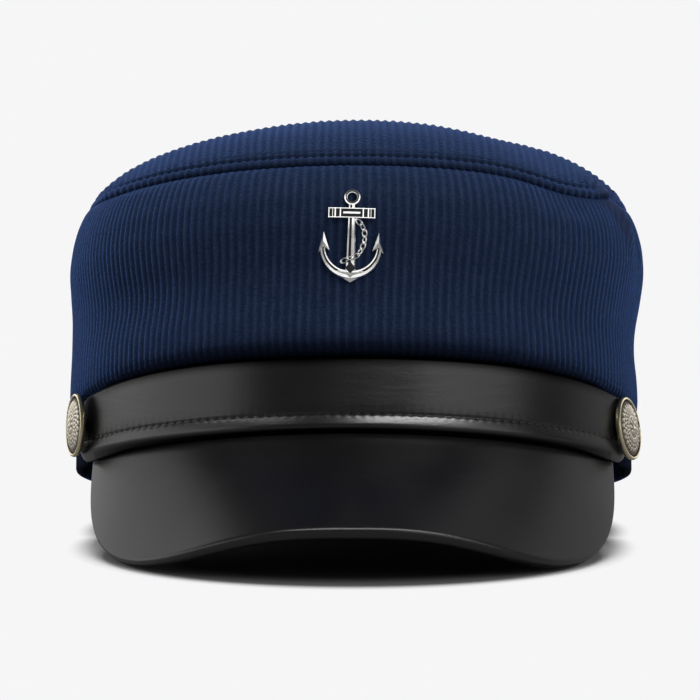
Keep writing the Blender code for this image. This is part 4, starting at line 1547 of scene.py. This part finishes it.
def button_relief(radius, turn, leaves):
    """The button's ornament: a boss, a rosette, a cord and three rows of overlapping leaves, from 0 to 1."""
    mm = 1000.0 * radius
    if mm < BOSS_MM:
        return 1.0
    if mm < ROSETTE_MM:
        across = math.sin(math.pi * (mm - BOSS_MM) / (ROSETTE_MM - BOSS_MM))
        return 0.15 + 0.75 * across * (0.5 + 0.5 * math.cos(PETALS * turn))
    if mm < CORD_MM:
        across = math.sin(math.pi * (mm - ROSETTE_MM) / (CORD_MM - ROSETTE_MM))
        return 0.15 + 0.55 * across * (0.75 + 0.25 * math.cos(CORD_STRANDS * turn + 6.0 * mm))
    if mm < LEAVES_MM:
        row, across = divmod((mm - CORD_MM) / LEAF_ROW_MM, 1.0)
        leaf = abs(math.cos(0.5 * leaves * turn + 0.5 * math.pi * row))
        vein = 1.0 - 0.3 * bump(leaf - 1.0, 0.05)
        return 0.10 + 0.9 * vein * smooth(1.5 * leaf - 0.9 * across) * (0.65 + 0.35 * across)
    return 0.10


# The ornament stands this high, and the button's face sinks by a share of it to keep its mean height
ORNAMENT_HEIGHT = 0.00036
ORNAMENT_SUNK = 0.4

# The radii and heights that divide the button: its shank, painted dark as painted shade behind the button, its
# front, its rolled rim and the gold on the rim
SHANK_REACH = 0.0018
SHANK_TOP = 0.0001
FRONT_FROM = 0.00101
RIM_FROM = 0.0089
GOLD_FROM = 0.00870


class CAP_OT_buttons(bpy.types.Operator):
    """Builds the two metal buttons with their ornament"""

    bl_idname = "cap.buttons"
    bl_label = "Buttons"

    def execute(self, context):
        metal = context.scene.cap_metal
        face = relief_metal("worn_button_metal", metal.button_colour, metal.tarnish_colour, 0.36, 0.50)
        for seat in BUTTON_SEATS:
            name, placed = seat.name + "_metal", REST @ button_matrix(seat)
            bm = self.turned(metal.leaves)
            piece = add_piece(name, bm, face, (seat.name,), smooth_under_deg=60.0, placed=placed)
            self.gild_rim(piece, metal, placed.inverted())
        return {"FINISHED"}

    def turned(self, leaves):
        bm = bmesh.new()
        line = [bm.verts.new((point.radius, 0.0, point.height)) for point in BUTTON_PROFILE]
        for i in range(FACE_RINGS + 1):
            radius = FACE_RADIUS * (1.0 - i / FACE_RINGS)
            line.append(bm.verts.new((radius, 0.0, FACE_EDGE + FACE_DOME * (1.0 - (radius / FACE_RADIUS) ** 2))))
        for start, end in zip(line, line[1:]):
            bm.edges.new((start, end))
        spin_round(bm, 144)
        relief = bm.verts.layers.float.new("relief")
        for vertex in bm.verts:
            radius = vertex.co.xy.length
            # The shank is painted dark: painted shade in the gap behind the button
            vertex[relief] = 0.0 if radius < SHANK_REACH and vertex.co.z < SHANK_TOP else 1.0
            if vertex.co.z < FRONT_FROM or radius > RIM_FROM:
                continue
            if radius > FACE_RADIUS:
                vertex[relief] = 0.0
                continue
            vertex[relief] = button_relief(radius, math.atan2(vertex.co.y, vertex.co.x), leaves)
            vertex.co.z += ORNAMENT_HEIGHT * (vertex[relief] - ORNAMENT_SUNK)
        bmesh.ops.recalc_face_normals(bm, faces=bm.faces)
        return bm

    def gild_rim(self, piece, metal, to_button):
        """Gives the rolled rim its own paler gold."""
        rim = relief_metal("button_rim_gold", metal.rim_colour, metal.tarnish_colour, 0.28, 0.5)
        piece.data.materials.append(rim)
        for face in piece.data.polygons:
            if (to_button @ face.center).xy.length > GOLD_FROM:
                face.material_index = 1


class BarPoint(NamedTuple):
    """One point of a badge bar's section: shares of its half width and thickness, and its polish, 0 in a hollow."""

    side: float
    out: float
    polish: float


# A bar with a narrow polished band, a dark groove and a broad polished band
GROOVED_BAR = (
    BarPoint(-1.00, 0.00, 0.4),
    BarPoint(-1.00, 0.55, 1.0),
    BarPoint(-0.84, 0.92, 1.0),
    BarPoint(-0.52, 1.00, 1.0),
    BarPoint(-0.38, 0.60, 0.0),
    BarPoint(-0.06, 0.60, 0.0),
    BarPoint(0.08, 1.00, 1.0),
    BarPoint(0.72, 0.95, 1.0),
    BarPoint(1.00, 0.50, 1.0),
    BarPoint(1.00, 0.00, 0.4),
)
DARK_BAR = (
    BarPoint(-1.00, 0.00, 0.6),
    BarPoint(-1.00, 0.72, 0.5),
    BarPoint(-0.90, 0.80, 0.0),
    BarPoint(0.90, 0.80, 0.0),
    BarPoint(1.00, 0.72, 0.5),
    BarPoint(1.00, 0.00, 0.6),
)
PLAIN_BAR = (
    BarPoint(-1.00, 0.00, 1.0),
    BarPoint(-1.00, 0.80, 1.0),
    BarPoint(-0.60, 1.00, 1.0),
    BarPoint(0.60, 1.00, 1.0),
    BarPoint(1.00, 0.80, 1.0),
    BarPoint(1.00, 0.00, 1.0),
)


class BarStation(NamedTuple):
    """One place along a badge bar: across, up, half width and thickness."""

    right: float
    up: float
    half_width: float
    thick: float


def bar(bm, stations, section, closed=False, flip=1):
    """Adds a bar through its stations, bent to the crown."""
    relief = bm.verts.layers.float["relief"]
    loops = []
    last = len(stations) - 1
    for i, station in enumerate(stations):
        before = stations[i - 1 if closed else max(0, i - 1)]
        after = stations[(i + 1) % len(stations) if closed else min(last, i + 1)]
        along = Vector((after.right - before.right, after.up - before.up)).normalized()
        across = flip * Vector((along.y, -along.x))
        ring = []
        for point in section:
            middle = Vector((station.right, station.up)) + point.side * station.half_width * across
            ring.append(bm.verts.new(on_front_panel(middle.x, middle.y, point.out * station.thick)))
            ring[-1][relief] = point.polish
        loops.append([bm.edges.new((a, b)) for a, b in zip(ring, ring[1:] + ring[:1])])
    for first, second in zip(loops, loops[1:]):
        bmesh.ops.bridge_loops(bm, edges=first + second)
    if closed:
        bmesh.ops.bridge_loops(bm, edges=loops[-1] + loops[0])
    else:
        bmesh.ops.edgeloop_fill(bm, edges=loops[0])
        bmesh.ops.edgeloop_fill(bm, edges=loops[-1])


def line_bar(bm, start, end, half_widths, thick, section=PLAIN_BAR, steps=6):
    stations = []
    for i in range(steps + 1):
        share = i / steps
        middle = Vector(start).lerp(Vector(end), share)
        half_width = half_widths[0] + share * (half_widths[1] - half_widths[0])
        stations.append(BarStation(middle.x, middle.y, half_width, thick))
    bar(bm, stations, section)


def arc_bar(bm, centre, radius, turns_deg, half_widths, thick, flip):
    """An arc between two turns, 0 degrees pointing right, or a whole ring."""
    first, last = turns_deg
    closed = abs(last - first) >= 360.0
    steps = 28
    stations = []
    for i in range(steps if closed else steps + 1):
        share = i / steps
        turn = math.radians(first + share * (last - first))
        right = centre[0] + radius * math.cos(turn)
        up = centre[1] + radius * math.sin(turn)
        half_width = half_widths[0] + share * (half_widths[1] - half_widths[0])
        stations.append(BarStation(right, up, half_width, thick))
    bar(bm, stations, GROOVED_BAR, closed, flip)


def ridged_plate(bm, corners, middle, thick, edge_thick, polish=1.0):
    """A pointed plate, thick along its middle and thin at its corners."""
    relief = bm.verts.layers.float["relief"]
    back = [bm.verts.new(on_front_panel(right, up, 0.0)) for right, up in corners]
    front = [bm.verts.new(on_front_panel(right, up, edge_thick)) for right, up in corners]
    ridge = bm.verts.new(on_front_panel(middle[0], middle[1], thick))
    for vertex in back + front + [ridge]:
        vertex[relief] = polish
    bm.faces.new(back)
    for i in range(len(corners)):
        j = (i + 1) % len(corners)
        bm.faces.new((back[i], back[j], front[j], front[i]))
        bm.faces.new((front[i], front[j], ridge))


STOCK_UP = 0.0063
STOCK_HALF_HEIGHT = 0.0014
STOCK_HALF_LENGTH = 0.0064

# Upright bands on the stock: distance from its middle, half width
STOCK_BANDS = ((0.00622, 0.00018), (0.0052, 0.00010), (0.0045, 0.00026), (0.0031, 0.00024))

# Half of the badge's foot and one fluke, for the right-hand side
FOOT_CORNERS = ((-0.0050, -0.0097), (0.0, -0.0127), (0.0050, -0.0097), (0.0, -0.0089))
CROWN_CORNERS = ((-0.0014, -0.0087), (0.0, -0.0104), (0.0014, -0.0087), (0.0, -0.0070))
FLUKE_CORNERS = ((0.0076, 0.0011), (0.0059, -0.0039), (0.0074, -0.0029), (0.0090, -0.0045))
FLUKE_RIDGE = (0.0076, -0.0015)


class ChainPoint(NamedTuple):
    """One bend of the badge's chain: across, up, and its height over the cloth."""

    right: float
    up: float
    out: float


CHAIN_LINE = (
    ChainPoint(0.0013, 0.0043, 0.0010),
    ChainPoint(0.0026, 0.0035, 0.0007),
    ChainPoint(0.0036, 0.0015, 0.0006),
    ChainPoint(0.0038, -0.0007, 0.0006),
    ChainPoint(0.0034, -0.0027, 0.0006),
    ChainPoint(0.0024, -0.0047, 0.0009),
    ChainPoint(0.0010, -0.0059, 0.0015),
    ChainPoint(-0.0007, -0.0063, 0.0016),
    ChainPoint(-0.0022, -0.0069, 0.0010),
    ChainPoint(-0.0031, -0.0078, 0.0009),
)
LINK_HALF_LENGTH = 0.00110
LINK_HALF_WIDTH = 0.00062
LINK_WIRE = 0.00018


def chain_points(spacing):
    """Evenly spaced points along the chain's line."""
    corners = [Vector(point) for point in CHAIN_LINE]
    points = [corners[0]]
    left = spacing
    for start, end in zip(corners, corners[1:]):
        length = (end - start).length
        at = 0.0
        while length - at >= left:
            at += left
            points.append(start.lerp(end, at / length))
            left = spacing
        left -= length - at
    return points


# The anchor's shank, ring and arms: their middles or ends, radii, half widths at both ends, and thicknesses
SHANK_ENDS = ((0.0, -0.0092), (0.0, 0.0088))
SHANK_HALF_WIDTHS = (0.00140, 0.00094)
SHANK_THICK = 0.00095
RING_MIDDLE = (0.0, 0.0108)
RING_RADIUS = 0.00180
RING_HALF_WIDTHS = (0.00052, 0.00052)
RING_THICK = 0.0009
ARM_MIDDLE = (0.0, -0.0028)
ARM_RADIUS = 0.0078
ARM_HALF_WIDTHS = (0.00130, 0.00072)
ARM_THICK = 0.0011

# How far one link of the chain lies from the next, in half lengths, and how far every second one is turned up
LINK_STEP = 1.62
LINK_TURNED_UP = 0.9


class CAP_OT_anchor_badge(bpy.types.Operator):
    """Builds the anchor badge with its chain"""

    bl_idname = "cap.anchor_badge"
    bl_label = "Anchor badge"

    def execute(self, context):
        metal = context.scene.cap_metal
        silver = relief_metal("badge_silver", metal.badge_colour, (0.035, 0.036, 0.040), 0.20, 0.7)
        badge = bmesh.new()
        badge.verts.layers.float.new("relief")
        line_bar(badge, *SHANK_ENDS, SHANK_HALF_WIDTHS, SHANK_THICK, GROOVED_BAR, 16)
        arc_bar(badge, RING_MIDDLE, RING_RADIUS, (-90.0, 270.0), RING_HALF_WIDTHS, RING_THICK, 1)
        self.add_stock(badge)
        for side in (-1, 1):
            turns = (-90.0 - side * 4.0, -90.0 + side * 86.0)
            arc_bar(badge, ARM_MIDDLE, ARM_RADIUS, turns, ARM_HALF_WIDTHS, ARM_THICK, side)
            corners = [(side * right, up) for right, up in FLUKE_CORNERS]
            ridged_plate(badge, corners, (side * FLUKE_RIDGE[0], FLUKE_RIDGE[1]), 0.0013, 0.00050)
        ridged_plate(badge, FOOT_CORNERS, (0.0, -0.0106), 0.0013, 0.0007)
        # The anchor's crown plate has no polish, so it is dark all over: painted shade in the crevice where the arms
        # meet the shank
        ridged_plate(badge, CROWN_CORNERS, (0.0, -0.0086), 0.0014, 0.0011, polish=0.0)
        bmesh.ops.recalc_face_normals(badge, faces=badge.faces)
        add_piece("anchor_badge_metal", badge, silver, ("anchor_badge",), smooth_under_deg=32.0)

        chain = bmesh.new()
        points = chain_points(LINK_STEP * LINK_HALF_LENGTH)
        for i, (start, end) in enumerate(zip(points, points[1:])):
            self.add_link(chain, start, end, i % 2)
        paint(chain, "relief", lambda place: 1.0)
        add_piece("anchor_chain", chain, silver)
        return {"FINISHED"}

    def add_stock(self, badge):
        """The cross-bar: a dark plate with polished rails, bands and a middle bar."""
        low, high = STOCK_UP - STOCK_HALF_HEIGHT, STOCK_UP + STOCK_HALF_HEIGHT
        end = STOCK_HALF_LENGTH
        plate = (STOCK_HALF_HEIGHT, STOCK_HALF_HEIGHT)
        line_bar(badge, (-end, STOCK_UP), (end, STOCK_UP), plate, 0.0013, DARK_BAR, 12)
        for up in (low + 0.00014, high - 0.00014):
            line_bar(badge, (-end, up), (end, up), (0.00016, 0.00016), 0.0013, steps=12)
        line_bar(badge, (-0.0023, STOCK_UP), (0.0023, STOCK_UP), (0.00040, 0.00040), 0.0014)
        for place, half_width in STOCK_BANDS:
            for right in (-place, place):
                line_bar(badge, (right, low), (right, high), (half_width, half_width), 0.0014, steps=2)

    def add_link(self, bm, start, end, turned):
        """One oval link, lying flat or turned on its side."""
        here = on_front_panel(*(0.5 * (start + end)))
        along = (on_front_panel(*end) - here).normalized()
        out = oval_normal(0.0, BAND_HALF_WIDTH, BAND_HALF_DEPTH)
        out = (out - along * out.dot(along)).normalized()
        across = out.cross(along)
        if turned:
            across = (across + LINK_TURNED_UP * out).normalized()
            out = along.cross(across)
        made = bmesh.new()
        bmesh.ops.create_circle(made, cap_ends=False, segments=6, radius=LINK_WIRE)
        bmesh.ops.rotate(made, verts=made.verts, cent=(0, 0, 0), matrix=Matrix.Rotation(math.pi / 2, 3, "X"))
        bmesh.ops.translate(made, verts=made.verts, vec=(LINK_HALF_WIDTH, 0.0, 0.0))
        spin_round(made, 14)
        bmesh.ops.recalc_face_normals(made, faces=made.faces)
        stretch = Matrix.Diagonal((LINK_HALF_LENGTH / LINK_HALF_WIDTH, 1.0, 1.0, 1.0))
        placed = Matrix.Translation(here) @ turned_to(along, across, out) @ stretch
        bmesh.ops.transform(made, matrix=placed, verts=made.verts)
        join_into(bm, made)


def aimed(kind, name, location, target, **settings):
    """A light or camera that looks at a point."""
    made = put_in_scene(name, kind)
    made.location = location
    made.rotation_euler = (Vector(target) - Vector(location)).to_track_quat("-Z", "Y").to_euler()
    for key, value in settings.items():
        setattr(kind, key, value)
    return made


VIEW_TARGET = Vector((-0.0012, 0.0162, 0.0556))
LIT_MIDDLE = Vector((0.0, -0.03, 0.06))


class Softbox(NamedTuple):
    """A softbox: how far round to the right of the camera's side and how high it stands, its size and its power.

    Pieces, if named, are the only ones that it lights."""

    name: str
    azimuth_deg: float
    elevation_deg: float
    distance: float
    width: float
    height: float
    power: float
    pieces: tuple = ()


CLOTH_PIECES = ("front_panel_cloth", "back_panel_cloth", "top_panel_cloth", "top_stitches", "headband_cloth")
BADGE_PIECES = ("anchor_badge_metal", "anchor_chain")
LEATHER_PIECES = ("strap_leather", "peak_leather")
SOFTBOXES = (
    Softbox("left_softbox", -86.0, 9.0, 1.10, 1.42, 0.60, 2.8),
    Softbox("left_strap_softbox", -80.0, 9.0, 1.10, 1.42, 0.60, 0.8, ("strap_leather",)),
    Softbox("left_leather_softbox", -86.0, 9.0, 1.10, 1.42, 0.60, 0.9, LEATHER_PIECES),
    Softbox("right_softbox", 54.0, 17.0, 1.10, 0.95, 0.50, 2.1),
    Softbox("right_leather_softbox", 54.0, 17.0, 1.10, 0.95, 0.50, 0.8, LEATHER_PIECES),
    Softbox("high_softbox", 38.0, 44.0, 1.10, 0.75, 0.34, 4.8, CLOTH_PIECES),
    Softbox("front_fill", -4.0, 5.0, 1.10, 0.70, 0.50, 1.3, CLOTH_PIECES),
    Softbox("hem_softbox", 33.0, 43.0, 1.10, 0.80, 0.26, 13.0, ("strap_leather",)),
    Softbox("left_hem_softbox", -61.0, 42.0, 1.10, 0.80, 0.26, 2.4, ("strap_leather",)),
    Softbox("rear_left_softbox", -135.0, 15.0, 1.10, 0.80, 0.86, 1.35),
    Softbox("rear_right_softbox", 130.0, 12.0, 1.10, 1.00, 0.60, 0.50),
    Softbox("rear_high_softbox", 150.0, 46.0, 1.10, 0.70, 0.45, 0.20, ("peak_leather",)),
    Softbox("back_softbox", 180.0, 22.0, 1.10, 1.10, 0.60, 3.0, CLOTH_PIECES),
    Softbox("over_left_softbox", -90.0, 66.0, 1.25, 0.70, 0.70, 6.6, CLOTH_PIECES),
    Softbox("over_right_softbox", 90.0, 66.0, 1.25, 0.70, 0.70, 0.3, CLOTH_PIECES),
    Softbox("over_softbox", 0.0, 80.0, 1.25, 0.70, 0.70, 2.8, CLOTH_PIECES),
    Softbox("floor_softbox", 0.0, 89.0, 1.50, 1.40, 1.40, 20.0, ("floor",)),
    Softbox("edge_softbox", 14.0, 52.0, 1.10, 1.90, 0.50, 16.0, ("peak_leather",)),
    Softbox("badge_softbox", -4.0, 22.0, 1.10, 1.20, 0.80, 4.6, BADGE_PIECES),
    Softbox("left_button_softbox", -134.0, 8.0, 1.10, 0.60, 0.60, 1.7, ("button_left_metal",)),
    Softbox("right_button_softbox", 130.0, 14.0, 1.10, 0.60, 0.60, 2.0, ("button_right_metal",)),
)


def direction(azimuth, elevation):
    """The way to a place so far round to the right of the front, and so high."""
    flat = math.cos(elevation)
    return Vector((math.sin(azimuth) * flat, -math.cos(azimuth) * flat, math.sin(elevation)))


BACKDROP = (0.92, 0.92, 0.93, 1.0)
BLACK = (0.0, 0.0, 0.0, 1.0)

# The floor's colour as the camera sees it, its painted shadow there under the cap, and as it lights the cap
FLOOR_PALE = (0.80, 0.80, 0.81, 1.0)
FLOOR_PAINTED_SHADOW = (0.16, 0.16, 0.16, 1.0)
FLOOR_DIM = (0.36, 0.36, 0.36, 1.0)
FLOOR_RADIUS = 6.0
FLOOR_SUNK = 0.0001

# The ovals round the peak and round the rim: the shift to an oval's middle and the stretch that makes it a circle
FLOOR_OVALS = (((0.0, 0.028, 0.0), (1.30, 1.0, 0.0)), ((0.0, -0.018, 0.0), (1.27, 1.0, 0.0)))

# From and to which distance from those middles the painted shadow under the cap gives way to the pale floor,
# and where the floor fades into the backdrop
PAINTED_SHADOW_EDGE = (0.078, 0.100)
FLOOR_FADE = (0.098, 0.110)


class CAP_OT_studio(bpy.types.Operator):
    """Sets the pale floor, the softboxes, the room light and the camera"""

    bl_idname = "cap.studio"
    bl_label = "Studio"

    def execute(self, context):
        studio = context.scene.cap_studio
        self.add_floor()
        self.add_world(studio.air)
        for softbox in SOFTBOXES:
            self.add_softbox(softbox, studio.power)
        place = VIEW_TARGET + studio.distance * direction(studio.azimuth, studio.elevation)
        lens = bpy.data.cameras.new("camera")
        context.scene.camera = aimed(
            lens, "camera", place, VIEW_TARGET, lens=studio.focal_mm, sensor_width=36.0, clip_start=0.01
        )
        context.scene.view_settings.view_transform = "Standard"
        return {"FINISHED"}

    def add_softbox(self, softbox, power):
        away = direction(math.radians(softbox.azimuth_deg), math.radians(softbox.elevation_deg))
        light = bpy.data.lights.new(softbox.name, "AREA")
        place = LIT_MIDDLE + softbox.distance * away
        box = aimed(
            light, softbox.name, place, LIT_MIDDLE,
            energy=power * softbox.power, shape="RECTANGLE", size=softbox.width, size_y=softbox.height,
        )  # fmt: skip
        box.visible_camera = False
        if softbox.pieces:
            lit = bpy.data.collections.new(softbox.name + "_only")
            for name in softbox.pieces:
                lit.objects.link(bpy.data.objects[name])
            box.light_linking.receiver_collection = lit

    def add_floor(self):
        bm = bmesh.new()
        bmesh.ops.create_circle(bm, cap_ends=True, segments=96, radius=FLOOR_RADIUS)
        floor = put_in_scene("floor", mesh_of("floor", bm))
        floor.location = (0.0, 0.0, -FLOOR_SUNK)
        floor.data.materials.append(self.floor_material())

    def floor_material(self):
        """A pale floor with a painted shadow under the cap; it fades into the backdrop with distance, and lights the
        cap no more than a dim room.
        """
        made, tree, shader = new_material("pale_floor")
        place = object_place(tree)
        away = math_node(tree, "MINIMUM", *[self.oval_distance(tree, place, *shape) for shape in FLOOR_OVALS])
        fade = soft_step(tree, away, *FLOOR_FADE)
        # Painted shadow under the cap
        under = soft_step(tree, away, *PAINTED_SHADOW_EDGE)
        seen = add_node(tree, "LightPath").outputs["Is Camera Ray"]
        near = mix_colours(tree, fade, mix_colours(tree, under, FLOOR_PAINTED_SHADOW, FLOOR_PALE), BLACK)
        inputs = {
            "Base Color": mix_colours(tree, seen, FLOOR_DIM, near),
            "Emission Color": mix_colours(tree, math_node(tree, "MULTIPLY", seen, fade), BLACK, BACKDROP),
            "Emission Strength": 1.0,
            "Roughness": 1.0,
            "Specular IOR Level": 0.0,
        }
        feed(tree, shader, inputs)
        return made

    def oval_distance(self, tree, place, shift, stretch):
        """How far a place lies from the middle of an oval that is stretched to a circle."""
        moved = vector_node(tree, "ADD", place, shift)["Vector"]
        stretched = vector_node(tree, "MULTIPLY", moved, stretch)["Vector"]
        return vector_node(tree, "LENGTH", stretched)["Value"]

    def add_world(self, strength):
        """A white backdrop for the camera, and a dimmer pale light for everything else."""
        world = bpy.data.worlds.new("room")
        bpy.context.scene.world = world
        world.use_nodes = True
        tree = world.node_tree
        tree.nodes.clear()
        seen = add_node(tree, "Background", {"Color": BACKDROP})
        lit = add_node(tree, "Background", {"Color": (1.0, 1.0, 1.0, 1.0), "Strength": strength})
        by_camera = add_node(tree, "LightPath").outputs["Is Camera Ray"]
        both = add_node(tree, "MixShader", {"Fac": by_camera, 1: lit.outputs[0], 2: seen.outputs[0]})
        add_node(tree, "OutputWorld", {"Surface": both.outputs[0]})


OPERATORS = (
    CAP_OT_crown_wall,
    CAP_OT_crown_top,
    CAP_OT_headband,
    CAP_OT_strap,
    CAP_OT_peak,
    CAP_OT_buttons,
    CAP_OT_anchor_badge,
    CAP_OT_studio,
)
SETTINGS = (
    ("cap_cloth", CapCloth),
    ("cap_leather", CapLeather),
    ("cap_metal", CapMetal),
    ("cap_studio", CapStudio),
)


class CAP_PT_build(bpy.types.Panel):
    """Lists the steps that build the cap"""

    bl_idname = "CAP_PT_build"
    bl_label = "Corduroy Cap"
    bl_space_type = "VIEW_3D"
    bl_region_type = "UI"
    bl_category = "Cap"

    def draw(self, context):
        for operator in OPERATORS:
            self.layout.operator(operator.bl_idname)
        for name, group in SETTINGS:
            box = self.layout.box()
            for label in group.__annotations__:
                box.prop(getattr(context.scene, name), label)


def register():
    for name, group in SETTINGS:
        bpy.utils.register_class(group)
        setattr(bpy.types.Scene, name, PointerProperty(type=group))
    for operator in OPERATORS:
        bpy.utils.register_class(operator)
    bpy.utils.register_class(CAP_PT_build)


def unregister():
    bpy.utils.unregister_class(CAP_PT_build)
    for operator in reversed(OPERATORS):
        bpy.utils.unregister_class(operator)
    for name, group in reversed(SETTINGS):
        delattr(bpy.types.Scene, name)
        bpy.utils.unregister_class(group)


def main():
    register()
    bpy.ops.cap.crown_wall()
    bpy.ops.cap.crown_top()
    bpy.ops.cap.headband()
    bpy.ops.cap.strap()
    bpy.ops.cap.peak()
    bpy.ops.cap.buttons()
    bpy.ops.cap.anchor_badge()
    bpy.ops.cap.studio()


if __name__ == "__main__":
    main()
